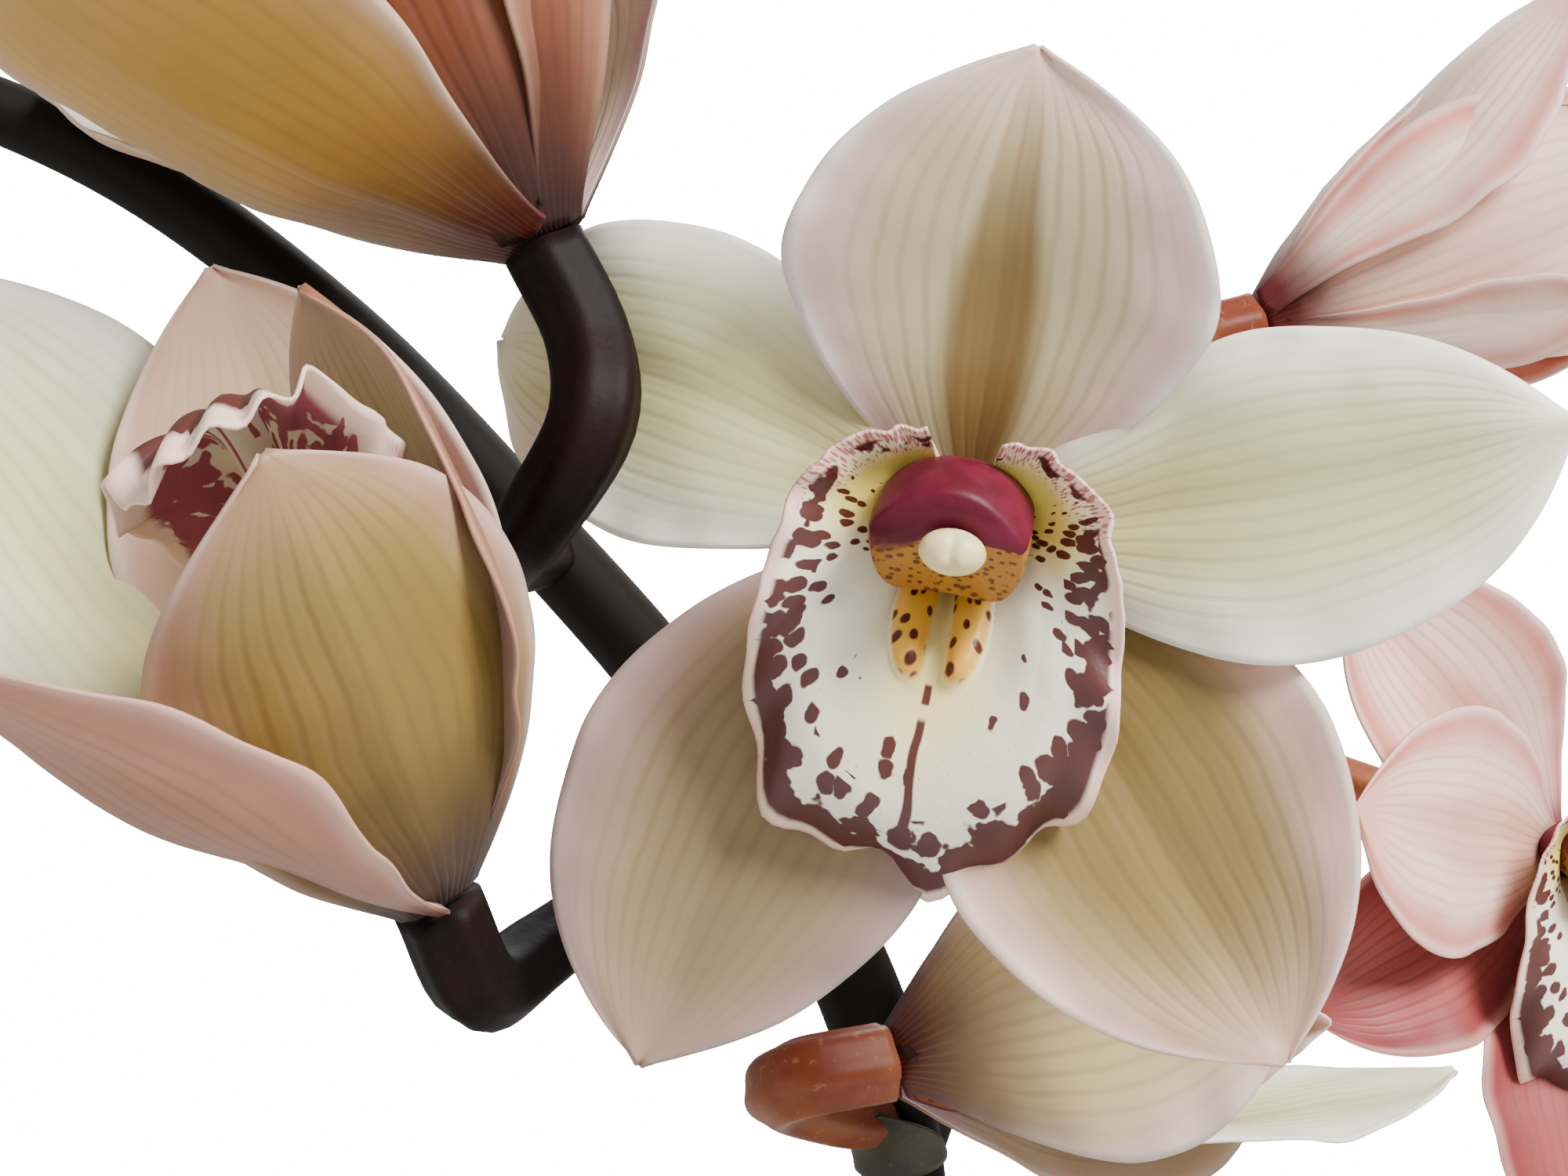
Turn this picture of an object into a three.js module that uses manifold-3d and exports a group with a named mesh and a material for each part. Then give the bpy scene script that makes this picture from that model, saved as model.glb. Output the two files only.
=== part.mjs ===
// A cymbidium orchid in a plain terracotta pot: bark, pseudobulbs, strap leaves, two flower spikes,
// a bamboo cane with its tie, and the flowers of both spikes.
// Millimetres, +Z up. The origin is the middle of the pot's underside.
import * as THREE from 'three';
import { mergeVertices } from 'three/addons/utils/BufferGeometryUtils.js';
import Module from 'manifold-3d';

const wasm = await Module();
wasm.setup();

// ---------------------------------------------------------------- driving sizes

const CLEARANCE = 0.3; // left between any two pieces
const SLIVER = 0.12; // cut pieces lose the facets that matter less than this

const POT_HEIGHT = 165;
const POT_RIM_RADIUS = 92;
const POT_FOOT_RADIUS = 66;
const POT_WALL = 4.5;
const POT_FLOOR = 6;
const RIM_BAND_HEIGHT = 18;
const RIM_BAND_OUT = 3;
const DRAIN_RADIUS = 6;
const DRAIN_CIRCLE = 40;
const DRAIN_COUNT = 5;
const ROUND_SIDES = 30; // sides of the pot and the bark

const BARK_BELOW_RIM = 20;
const BARK_CROWN = 5; // how much the bark heaps up in the middle

const BULB_HEIGHT = 84;
const BULB_WIDTH = 46;
const BULB_DEPTH = 36;
const BULB_SUNK = 14; // how deep a bulb sits in the bark
const BULB_TAPER = 0.28; // share of its width that a bulb loses towards its top

const LEAF_LENGTH = 480;
const LEAF_WIDTH = 25;
const LEAF_THICKNESS = 1.3;
const LEAF_FOLD = 24; // degrees that each half rises from the midrib
const LEAF_FOOT_HEIGHT = 0.62; // share of a bulb's height where its leaves begin
const LEAF_FOOT_WIDTH = 0.45; // share of the full width at a leaf's foot
const LEAF_WIDENED = 0.35; // share of its length where a leaf reaches its full width

const STEM_RADIUS = 5.3;
const STEM_TIP_RADIUS = 2.6;
const FAR_STEM_RADIUS = 4.4;
const CANE_RADIUS = 2.4;
const TIE_RADIUS = 1.1;
const TIE_HEIGHT = 118; // above the bark

const FLOWER_SCALE = 1;
const TEPAL_THICKNESS = 1.4;
const LIP_THICKNESS = 1.2;
const PETAL_LEVEL = 2; // petals leave the flower this far in front of the sepals
const TEPAL_START = 2; // distance from the flower's axis where a tepal begins
const TEPAL_FOOT_WIDTH = 0.2; // share of the full width at a tepal's foot
const TEPAL_WIDEST = 0.58; // share of its length where a tepal is widest
const TEPAL_BLUNT = 5.5; // the larger, the rounder its tip
const OVARY_RADIUS = 4.4;
const PEDICEL_RADIUS = 3.6;

const BARK_TOP = POT_HEIGHT - BARK_BELOW_RIM;

const COLOURS = {
  terracotta: 0x9c5a3c,
  bark: 0x4a3120,
  bulb: 0x6f7d3a,
  leaf: 0x3f6a2c,
  stem: 0x2b2118,
  cane: 0xb9a45c,
  tie: 0xa98f5a,
  sepal: 0xe4cfc0,
  petal: 0xe9e4cf,
  lip: 0xf2e6dc,
  column: 0x7c1d44,
  cap: 0xf3eccb,
  pedicel: 0x4a2a2c,
  farFlower: 0xd9a08f,
};

// ---------------------------------------------------------------- small helpers

const radians = THREE.MathUtils.degToRad;

function mix(a, b, t) {
  return a + (b - a) * t;
}

// The value at x on a broken line through (xs[i], ys[i]).
function table(x, xs, ys) {
  let i = 1;
  while (i < xs.length - 1 && xs[i] < x) {
    i += 1;
  }
  const t = THREE.MathUtils.clamp((x - xs[i - 1]) / (xs[i] - xs[i - 1]), 0, 1);
  return mix(ys[i - 1], ys[i], t);
}

// A point of the plant, its height measured from the bark's surface.
function above(x, y, z) {
  return new THREE.Vector3(x, y, BARK_TOP + z);
}

function signedVolume(geometry) {
  const p = geometry.attributes.position;
  const index = geometry.index;
  const [a, b, c] = [new THREE.Vector3(), new THREE.Vector3(), new THREE.Vector3()];
  let sum = 0;
  for (let i = 0; i < index.count; i += 3) {
    a.fromBufferAttribute(p, index.getX(i));
    b.fromBufferAttribute(p, index.getX(i + 1));
    c.fromBufferAttribute(p, index.getX(i + 2));
    sum += a.dot(b.cross(c)) / 6;
  }
  return sum;
}

// A closed geometry as a manifold solid, facing out whichever way it was bent.
function toSolid(geometry) {
  geometry.deleteAttribute('normal');
  geometry.deleteAttribute('uv');
  const merged = mergeVertices(geometry, 1e-4);
  const tris = new Uint32Array(merged.index.array);
  if (signedVolume(merged) < 0) {
    for (let i = 0; i < tris.length; i += 3) {
      [tris[i], tris[i + 1]] = [tris[i + 1], tris[i]];
    }
  }
  const vertProperties = new Float32Array(merged.attributes.position.array);
  return new wasm.Manifold(new wasm.Mesh({ numProp: 3, vertProperties, triVerts: tris }));
}

function toGeometry(solid) {
  const mesh = solid.getMesh();
  const geometry = new THREE.BufferGeometry();
  geometry.setAttribute('position', new THREE.BufferAttribute(mesh.vertProperties, 3));
  geometry.setIndex(new THREE.BufferAttribute(mesh.triVerts, 1));
  geometry.computeVertexNormals();
  return geometry;
}

function largestBody(solid) {
  const bodies = solid.decompose();
  bodies.sort((a, b) => b.volume() - a.volume());
  return bodies[0];
}

// Moves every vertex of a geometry by a function of its old place.
function bend(geometry, place) {
  const p = geometry.attributes.position;
  const v = new THREE.Vector3();
  for (let i = 0; i < p.count; i += 1) {
    v.fromBufferAttribute(p, i);
    const moved = place(v);
    p.setXYZ(i, moved.x, moved.y, moved.z);
  }
  return geometry;
}

// A box bent into a sheet: surface(s, a) gives its middle, with s from 0 to 1 and a from -1 to 1.
function bentSheet(surface, thickness, across, along) {
  const step = 0.01;
  return bend(new THREE.BoxGeometry(2, 1, 2, across, along, 1), (v) => {
    const s = v.y + 0.5;
    const here = surface(s, v.x);
    const alongWay = surface(s + step, v.x).sub(surface(s - step, v.x));
    const sideWay = surface(s, v.x + step).sub(surface(s, v.x - step));
    const normal = alongWay.cross(sideWay).normalize();
    return here.addScaledVector(normal, (v.z * thickness) / 2);
  });
}

// A round bar bent along a curve, with radiusAt(t) from one end to the other, grown all round.
function bentBar(curve, radiusAt, sides, steps, grow) {
  const frames = curve.computeFrenetFrames(steps, false);
  const bar = new THREE.CylinderGeometry(1, 1, 1, sides, steps);
  return bend(bar, (v) => {
    const i = Math.round((v.y + 0.5) * steps);
    const t = i / steps;
    const centre = curve.getPointAt(t);
    const past = (t === 1 ? grow : 0) - (t === 0 ? grow : 0);
    centre.addScaledVector(curve.getTangentAt(t), past);
    const radius = radiusAt(t) + grow;
    centre.addScaledVector(frames.normals[i], v.x * radius);
    return centre.addScaledVector(frames.binormals[i], v.z * radius);
  });
}

function smoothCurve(points) {
  return new THREE.CatmullRomCurve3(points, false, 'centripetal');
}

function nearestOn(curve, near) {
  const samples = curve.getSpacedPoints(200);
  return samples.reduce((best, p) => (p.distanceTo(near) < best.distanceTo(near) ? p : best));
}

// ---------------------------------------------------------------- pieces and their clearances

const group = new THREE.Group();
const keepClear = []; // finished pieces, grown by the clearance

function overlapping(box, other) {
  const touches = (k) => box.min[k] <= other.max[k] && other.min[k] <= box.max[k];
  return touches(0) && touches(1) && touches(2);
}

// Adds one piece. make(grow) builds its solid with every face moved out by grow.
function addPiece(name, colour, roughness, make) {
  let solid = make(0);
  for (const other of keepClear) {
    if (overlapping(solid.boundingBox(), other.box)) {
      solid = largestBody(solid.subtract(other.solid));
    }
  }
  solid = largestBody(solid.simplify(SLIVER));
  const grown = make(CLEARANCE);
  keepClear.push({ box: grown.boundingBox(), solid: grown });
  const material = new THREE.MeshStandardMaterial({ color: colour, roughness, metalness: 0 });
  const mesh = new THREE.Mesh(toGeometry(solid), material);
  mesh.name = name;
  group.add(mesh);
}

function turned(profile, segments) {
  const lathe = new THREE.LatheGeometry(profile.map(([r, z]) => new THREE.Vector2(r, z)), segments);
  return lathe.rotateX(Math.PI / 2);
}

// ---------------------------------------------------------------- pot and bark

function potRadiusAt(z) {
  return mix(POT_FOOT_RADIUS, POT_RIM_RADIUS, z / POT_HEIGHT);
}

function makePot(grow) {
  const bandFoot = POT_HEIGHT - RIM_BAND_HEIGHT;
  const pot = toSolid(turned([
    [0, -grow],
    [potRadiusAt(0) + grow, -grow],
    [potRadiusAt(bandFoot) + grow, bandFoot - grow],
    [potRadiusAt(bandFoot) + RIM_BAND_OUT + grow, bandFoot - grow],
    [potRadiusAt(POT_HEIGHT) + RIM_BAND_OUT + grow, POT_HEIGHT + grow],
    [potRadiusAt(POT_HEIGHT) - POT_WALL - grow, POT_HEIGHT + grow],
    [potRadiusAt(POT_FLOOR) - POT_WALL - grow, POT_FLOOR + grow],
    [0, POT_FLOOR + grow],
  ], ROUND_SIDES));
  let drilled = pot;
  for (let i = 0; i < DRAIN_COUNT; i += 1) {
    const hole = new THREE.CylinderGeometry(DRAIN_RADIUS - grow, DRAIN_RADIUS - grow, POT_FLOOR * 4, 12);
    hole.rotateX(Math.PI / 2);
    const angle = (i / DRAIN_COUNT) * Math.PI * 2;
    hole.translate(DRAIN_CIRCLE * Math.cos(angle), DRAIN_CIRCLE * Math.sin(angle), 0);
    drilled = drilled.subtract(toSolid(hole));
  }
  return drilled;
}

function makeBark(grow) {
  const inside = (z) => potRadiusAt(z) - POT_WALL - CLEARANCE + grow;
  const bottom = POT_FLOOR + CLEARANCE - grow;
  return toSolid(turned([
    [0, bottom],
    [inside(POT_FLOOR), bottom],
    [inside(BARK_TOP), BARK_TOP + grow],
    [inside(BARK_TOP) * 0.6, BARK_TOP + BARK_CROWN * 0.7 + grow],
    [0, BARK_TOP + BARK_CROWN + grow],
  ], ROUND_SIDES));
}

// ---------------------------------------------------------------- pseudobulbs

// x and y in the pot, and the way the flat of the bulb turns
const BULBS = [
  { x: -36, y: -22, turn: 15 },
  { x: 30, y: -34, turn: -25 },
  { x: -30, y: 36, turn: -20 },
  { x: 52, y: 18, turn: 70 },
];

function makeBulb(bulb, grow) {
  const ball = new THREE.SphereGeometry(1, 12, 7);
  bend(ball, (v) => {
    const t = (v.y + 1) / 2;
    const waist = 1 - BULB_TAPER * t * t;
    const x = v.x * (BULB_WIDTH / 2 + grow) * waist;
    const y = v.z * (BULB_DEPTH / 2 + grow) * waist;
    return new THREE.Vector3(x, y, v.y * (BULB_HEIGHT / 2 + grow));
  });
  ball.rotateZ(radians(bulb.turn));
  ball.translate(bulb.x, bulb.y, BARK_TOP - BULB_SUNK + BULB_HEIGHT / 2);
  return toSolid(ball);
}

// ---------------------------------------------------------------- leaves

// bulb: which bulb it grows from; azimuth: the way it arches, from +X; out: how far from the
// bulb's axis it begins; rise: its slope at the base and at the tip; long: share of LEAF_LENGTH
const LEAVES = [
  { bulb: 0, azimuth: 196, out: 9, rise: [80, -62], long: 1.0 },
  { bulb: 0, azimuth: 238, out: 10, rise: [74, -74], long: 0.86 },
  { bulb: 0, azimuth: 155, out: 8, rise: [84, -30], long: 0.94 },
  { bulb: 1, azimuth: 278, out: 9, rise: [78, -66], long: 0.92 },
  { bulb: 1, azimuth: 318, out: 10, rise: [80, -52], long: 1.0 },
  { bulb: 1, azimuth: 258, out: 7, rise: [70, -78], long: 0.74 },
  { bulb: 2, azimuth: 122, out: 9, rise: [80, -58], long: 1.04 },
  { bulb: 2, azimuth: 170, out: 9, rise: [76, -70], long: 0.9 },
  { bulb: 2, azimuth: 88, out: 8, rise: [82, -40], long: 1.0 },
  { bulb: 3, azimuth: 8, out: 9, rise: [79, -60], long: 1.02 },
  { bulb: 3, azimuth: 46, out: 9, rise: [81, -48], long: 1.06 },
  { bulb: 3, azimuth: 340, out: 7, rise: [72, -76], long: 0.8 },
];

function leafSurface(leaf, grow) {
  const bulb = BULBS[leaf.bulb];
  const azimuth = radians(leaf.azimuth);
  const outward = new THREE.Vector3(Math.cos(azimuth), Math.sin(azimuth), 0);
  const side = new THREE.Vector3(-Math.sin(azimuth), Math.cos(azimuth), 0);
  const fold = radians(LEAF_FOLD);
  const length = LEAF_LENGTH * leaf.long;
  const steps = 60;
  const line = [new THREE.Vector3(bulb.x, bulb.y, BARK_TOP + BULB_HEIGHT * LEAF_FOOT_HEIGHT)];
  line[0].addScaledVector(outward, leaf.out);
  const slopeAt = (s) => radians(mix(leaf.rise[0], leaf.rise[1], Math.max(0, s) ** 2));
  for (let i = 0; i < steps; i += 1) {
    const slope = slopeAt((i + 0.5) / steps);
    const next = line[i].clone().addScaledVector(outward, (Math.cos(slope) * length) / steps);
    next.z += (Math.sin(slope) * length) / steps;
    line.push(next);
  }
  return (s, a) => {
    const f = THREE.MathUtils.clamp(s, 0, 1) * steps;
    const i = Math.min(steps - 1, Math.floor(f));
    const point = line[i].clone().lerp(line[i + 1], s * steps - i);
    const slope = slopeAt(s);
    const widened = Math.sin(Math.min(1, Math.max(0, s) / LEAF_WIDENED) * Math.PI * 0.5);
    const tip = Math.max(0, 1 - Math.max(0, s) ** 5) ** 0.8;
    const half = Math.max(0.8, (LEAF_WIDTH / 2) * mix(LEAF_FOOT_WIDTH, 1, widened) * tip) + grow;
    const upward = outward.clone().multiplyScalar(-Math.sin(slope));
    upward.z = Math.cos(slope);
    point.addScaledVector(side, a * half * Math.cos(fold));
    return point.addScaledVector(upward, Math.abs(a) * half * Math.sin(fold));
  };
}

function makeLeaf(leaf, grow) {
  return toSolid(bentSheet(leafSurface(leaf, grow), LEAF_THICKNESS + grow * 2, 2, 9));
}

// ---------------------------------------------------------------- spikes, cane and tie

const SPIKE = smoothCurve([
  above(12, 6, -30),
  above(19, 11, 120),
  above(20, 17, 255),
  above(16, 26, 370),
  above(15, 27, 401),
  above(11, 21, 420),
  above(0, 12, 444),
  above(-15, 6, 465),
  above(-28, 3, 480),
  above(-52, 7, 505),
  above(-79, 5, 525),
  above(-107, 1, 536),
  above(-150, -3, 545),
  above(-192, -5, 542),
  above(-228, -6, 528),
]);

const FAR_SPIKE = smoothCurve([
  above(24, 46, -30),
  above(21, 58, 120),
  above(18, 78, 260),
  above(19, 88, 388),
  above(36, 92, 420),
  above(58, 93, 452),
  above(76, 92, 482),
]);

// closed buds near the tip of the main spike: share of the stem's length, way out, and length
const BUDS = [
  { at: 0.872, way: [-0.25, -0.45, 0.85], long: 44 },
  { at: 0.915, way: [-0.2, 0.6, 0.75], long: 40 },
  { at: 0.955, way: [-0.35, -0.55, 0.7], long: 34 },
  { at: 0.985, way: [-0.7, 0.25, 0.6], long: 28 },
  { at: 1.0, way: [-0.95, -0.1, -0.1], long: 22 },
];
const BUD_STALK = 16;

function makeBud(bud, grow) {
  const start = SPIKE.getPointAt(bud.at);
  const way = new THREE.Vector3(...bud.way).normalize();
  const long = BUD_STALK + bud.long * FLOWER_SCALE;
  const line = new THREE.LineCurve3(start, start.clone().addScaledVector(way, long));
  const swell = (bud.long * FLOWER_SCALE) / 4.6;
  const radiusAt = (t) => {
    const along = Math.max(0, (t * long - BUD_STALK) / (long - BUD_STALK));
    return Math.max(1.9, swell * Math.sin(Math.PI * Math.min(0.96, along ** 0.8)) ** 0.8);
  };
  return toSolid(bentBar(line, radiusAt, 7, 6, grow));
}

function makeSpike(grow) {
  const radiusAt = (t) => mix(STEM_RADIUS, STEM_TIP_RADIUS, Math.max(0, (t - 0.6) / 0.4));
  let spike = toSolid(bentBar(SPIKE, radiusAt, 8, 30, grow));
  for (const bud of BUDS) {
    spike = spike.add(makeBud(bud, grow));
  }
  return spike;
}

function makeFarSpike(grow) {
  const radiusAt = (t) => mix(FAR_STEM_RADIUS, FAR_STEM_RADIUS * 0.7, t);
  return toSolid(bentBar(FAR_SPIKE, radiusAt, 8, 18, grow));
}

const CANE_FOOT = above(22, 14, -60);
const CANE_TOP = above(39.5, 25, 428);

function makeCane(grow) {
  const line = new THREE.LineCurve3(CANE_FOOT, CANE_TOP);
  return toSolid(bentBar(line, () => CANE_RADIUS, 10, 4, grow));
}

// A loop of raffia round the main spike and the cane, at one height.
function makeTie(grow) {
  const stem = nearestOn(SPIKE, above(19, 11, TIE_HEIGHT));
  const t = (stem.z - CANE_FOOT.z) / (CANE_TOP.z - CANE_FOOT.z);
  const cane = CANE_FOOT.clone().lerp(CANE_TOP, t);
  const apart = cane.clone().sub(stem);
  const room = TIE_RADIUS + CLEARANCE * 1.5;
  const half = (apart.length() + STEM_RADIUS + CANE_RADIUS) / 2 + room;
  const centre = stem.clone().addScaledVector(apart.normalize(), half - STEM_RADIUS - room);
  const loop = new THREE.TorusGeometry(1, 0.1, 5, 20);
  bend(loop, (v) => {
    const angle = Math.atan2(v.y, v.x);
    const off = (Math.hypot(v.x, v.y) - 1) * 10 * (TIE_RADIUS + grow);
    const across = STEM_RADIUS + room - 0.2 * Math.cos(angle) * STEM_RADIUS + off;
    return new THREE.Vector3((half + off) * Math.cos(angle), across * Math.sin(angle),
      v.z * 10 * (TIE_RADIUS + grow));
  });
  loop.rotateZ(Math.atan2(apart.y, apart.x));
  loop.translate(centre.x, centre.y, centre.z);
  return toSolid(loop);
}

// ---------------------------------------------------------------- flowers

// A flower's frame: it faces along `facing`, and its dorsal sepal points to `top`.
function flowerMatrix(flower) {
  const out = new THREE.Vector3(...flower.facing).normalize();
  const top = new THREE.Vector3(...flower.top);
  const up = top.addScaledVector(out, -top.dot(out)).normalize();
  const right = up.clone().cross(out);
  const matrix = new THREE.Matrix4().makeBasis(right, up, out);
  return matrix.setPosition(above(...flower.at));
}

// The surface of a sepal or petal in its flower's frame. turn: its direction, 90 at the top;
// sweep: how far it curves sideways; rise: how far it leans forward at base and tip;
// cup: how far its edges come forward at base and tip.
function tepalSurface(tepal, grow) {
  const length = tepal.length * FLOWER_SCALE + grow * 2;
  const half = (tepal.width * FLOWER_SCALE) / 2;
  const sweep = tepal.sweep ?? 0;
  const turnAt = (s) => radians(tepal.turn + sweep * (s - 0.4));
  const riseAt = (s) => radians(mix(tepal.rise[0], tepal.rise[1], s));
  const wayAt = (s) => {
    const flat = Math.cos(riseAt(s));
    return new THREE.Vector3(flat * Math.cos(turnAt(s)), flat * Math.sin(turnAt(s)), Math.sin(riseAt(s)));
  };
  const steps = 30;
  const base = new THREE.Vector3(Math.cos(turnAt(0)), Math.sin(turnAt(0)), 0);
  base.multiplyScalar(TEPAL_START).setZ(tepal.level).multiplyScalar(FLOWER_SCALE);
  const line = [base.addScaledVector(wayAt(0), -grow)];
  for (let i = 0; i < steps; i += 1) {
    line.push(line[i].clone().addScaledVector(wayAt((i + 0.5) / steps), length / steps));
  }
  return (s, a) => {
    const held = THREE.MathUtils.clamp(s, 0, 1);
    const i = Math.min(steps - 1, Math.floor(held * steps));
    const centre = line[i].clone().lerp(line[i + 1], s * steps - i);
    const widened = Math.sin((Math.PI / 2) * Math.min(1, held / TEPAL_WIDEST)) ** 1.2;
    const share = mix(TEPAL_FOOT_WIDTH, 1, widened) * (1 - held ** TEPAL_BLUNT);
    const w = Math.max(0.5, half * share) + grow;
    const cup = Math.max(0.01, radians(mix(tepal.cup[0], tepal.cup[1], held)) * (w / half));
    const side = new THREE.Vector3(-Math.sin(turnAt(held)), Math.cos(turnAt(held)), 0);
    const front = wayAt(held).cross(side);
    centre.addScaledVector(side, (w / cup) * Math.sin(cup * a));
    return centre.addScaledVector(front, (w / cup) * (1 - Math.cos(cup * a)));
  };
}

function makeTepal(flower, tepal, grow) {
  const [across, along] = flower.far ? [2, 4] : [4, 5];
  const sheet = bentSheet(tepalSurface(tepal, grow), TEPAL_THICKNESS + grow * 2, across, along);
  return toSolid(sheet.applyMatrix4(flowerMatrix(flower)));
}

// The lip is a trough of ribs that leave a ring under the column and end at the frilled edge.
// angle: the rib's direction from straight down; radius and height: where its edge lies;
// leave and arrive: the rib's slopes.
const OPEN_LIP = {
  open: 157,
  angle: [0, 25, 45, 60, 80, 100, 130, 157],
  radius: [37, 34, 26.5, 21, 17, 15.5, 12.5, 9.5],
  height: [6, 9, 15, 17, 19, 19, 19, 18],
  leave: [58, 60, 66, 70, 74, 78, 82, 86],
  arrive: [-74, -62, -25, 10, 35, 45, 55, 65],
};
const HALF_OPEN_LIP = {
  open: 150,
  angle: [0, 25, 45, 60, 80, 100, 130, 150],
  radius: [23, 20, 17, 15, 13, 12, 10, 9],
  height: [46, 47, 45, 42, 40, 38, 34, 30],
  leave: [80, 80, 80, 80, 80, 80, 80, 80],
  arrive: [-20, -10, 20, 40, 50, 55, 60, 70],
};
// a longer one, leaning to its right side and higher there
const LEANING_LIP = {
  ...HALF_OPEN_LIP,
  height: [60, 61, 58, 53, 48, 44, 38, 32],
  lean: 0.12,
  tilt: 0.34,
};
const LIP_RING = 4.2;
const LIP_LEVEL = 2.4;
const LIP_CURVE = 0.45; // how far a rib keeps its slopes, as a share of its reach

function lipSurface(lip, grow) {
  return (rho, a) => {
    const angle = a * (lip.open + grow * 2);
    const at = (values) => table(Math.abs(angle), lip.angle, values);
    const leave = radians(at(lip.leave));
    const arrive = radians(at(lip.arrive));
    const from = new THREE.Vector2(LIP_RING - grow * Math.cos(leave), LIP_LEVEL - grow * Math.sin(leave));
    const to = new THREE.Vector2(at(lip.radius), at(lip.height));
    to.x += grow * Math.cos(arrive);
    to.y += grow * Math.sin(arrive);
    const reach = from.distanceTo(to) * LIP_CURVE;
    const p1 = new THREE.Vector2(Math.cos(leave), Math.sin(leave)).multiplyScalar(reach).add(from);
    const p2 = new THREE.Vector2(Math.cos(arrive), Math.sin(arrive)).multiplyScalar(-reach).add(to);
    const rib = new THREE.CubicBezierCurve(from, p1, p2, to).getPoint(rho);
    const way = radians(angle);
    const place = new THREE.Vector3(rib.x * Math.sin(way), -rib.x * Math.cos(way), rib.y);
    place.z += (lip.tilt ?? 0) * place.x * rho;
    place.x += (lip.lean ?? 0) * rib.y;
    return place.multiplyScalar(FLOWER_SCALE);
  };
}

function makeLip(flower, grow) {
  const [across, along] = flower.far ? [8, 3] : [10, 4];
  const sheet = bentSheet(lipSurface(flower.lip, grow), LIP_THICKNESS + grow * 2, across, along);
  return toSolid(sheet.applyMatrix4(flowerMatrix(flower)));
}

// The column arches forward over the lip; its anther cap sits on the end.
const COLUMN_LENGTH = 23;
const COLUMN_ARCH = 4;
const COLUMN_TIP_DROP = 1.5;
const CAP_LENGTH = 4.6;
const CAP_WIDTH = 7;
const CAP_HEIGHT = 5.4;

function columnPoint(t) {
  const y = COLUMN_ARCH * Math.sin(Math.PI * Math.min(1, t * 0.85)) - COLUMN_TIP_DROP * t * t;
  return new THREE.Vector3(0, y, 1 + COLUMN_LENGTH * t);
}

function makeColumn(flower, grow) {
  const bar = new THREE.CylinderGeometry(1, 1, 1, 8, 4);
  bend(bar, (v) => {
    const t = v.y + 0.5;
    const half = table(t, [0, 0.4, 0.8, 1], [3, 5, 7.4, 5.6]);
    const high = table(t, [0, 0.4, 0.8, 1], [2.8, 3.8, 4.4, 3.2]);
    const low = table(t, [0, 0.4, 0.8, 1], [2.6, 3.4, 5.2, 3.4]);
    const centre = columnPoint(t);
    centre.z += (t * 2 - 1) * grow;
    centre.x += v.x * (half + grow);
    centre.y += -v.z * ((v.z < 0 ? high : low) + grow);
    return centre.multiplyScalar(FLOWER_SCALE);
  });
  return toSolid(bar.applyMatrix4(flowerMatrix(flower)));
}

function makeCap(flower, grow) {
  const cap = new THREE.SphereGeometry(1, 8, 5);
  const tip = columnPoint(1);
  bend(cap, (v) => {
    const x = v.x * (CAP_WIDTH / 2 + grow);
    const y = tip.y - 1 + v.y * (CAP_HEIGHT / 2 + grow);
    const z = tip.z + CAP_LENGTH / 2 - 0.5 + v.z * (CAP_LENGTH / 2 + grow);
    return new THREE.Vector3(x, y, z).multiplyScalar(FLOWER_SCALE);
  });
  return toSolid(cap.applyMatrix4(flowerMatrix(flower)));
}

// The pedicel leaves the spike beside its first point, bends through the others and swells
// into the ovary.
function makePedicel(flower, grow) {
  const centre = above(...flower.at);
  const out = new THREE.Vector3(...flower.facing).normalize();
  const spike = flower.far ? FAR_SPIKE : SPIKE;
  const [from, ...bends] = flower.pedicel.map((p) => above(...p));
  const points = [nearestOn(spike, from), ...bends];
  points.push(centre.clone().addScaledVector(out, -12 * FLOWER_SCALE));
  points.push(centre.clone().addScaledVector(out, -1.1 * FLOWER_SCALE));
  const radiusAt = (t) => {
    const ovary = OVARY_RADIUS * FLOWER_SCALE;
    return mix(PEDICEL_RADIUS, ovary, THREE.MathUtils.smoothstep(t, 0.3, 0.8));
  };
  return toSolid(bentBar(smoothCurve(points), radiusAt, 7, 10, grow));
}

const SEPAL = 0;
const PETAL = PETAL_LEVEL;

// Every flower: where its tepals meet, how it faces, its tepals and the bends of its pedicel.
const MAIN_FLOWER = {
  name: 'main_flower',
  at: [18.7, -35, 481.4],
  facing: [-0.12, -1, -0.02],
  top: [0.16, 0, 1],
  lip: OPEN_LIP,
  pedicel: [[-8, 9, 458], [2, 0, 466]],
  tepals: {
    left_petal: { turn: 166, sweep: 22, length: 60, width: 35, rise: [14, -30], cup: [5, 1], level: PETAL },
    right_petal: { turn: 17, sweep: 18, length: 61, width: 35, rise: [18, 0], cup: [5, 5], level: PETAL },
    dorsal_sepal: { turn: 89, length: 49, width: 46, rise: [30, 8], cup: [10, 22], level: SEPAL },
    left_sepal: { turn: 246, sweep: 26, length: 64, width: 41, rise: [14, 0], cup: [5, 20], level: SEPAL },
    right_sepal: {
      turn: 311, sweep: -6, length: 62, width: 45, rise: [14, 10], cup: [10, 35], level: SEPAL,
    },
  },
};

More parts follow.
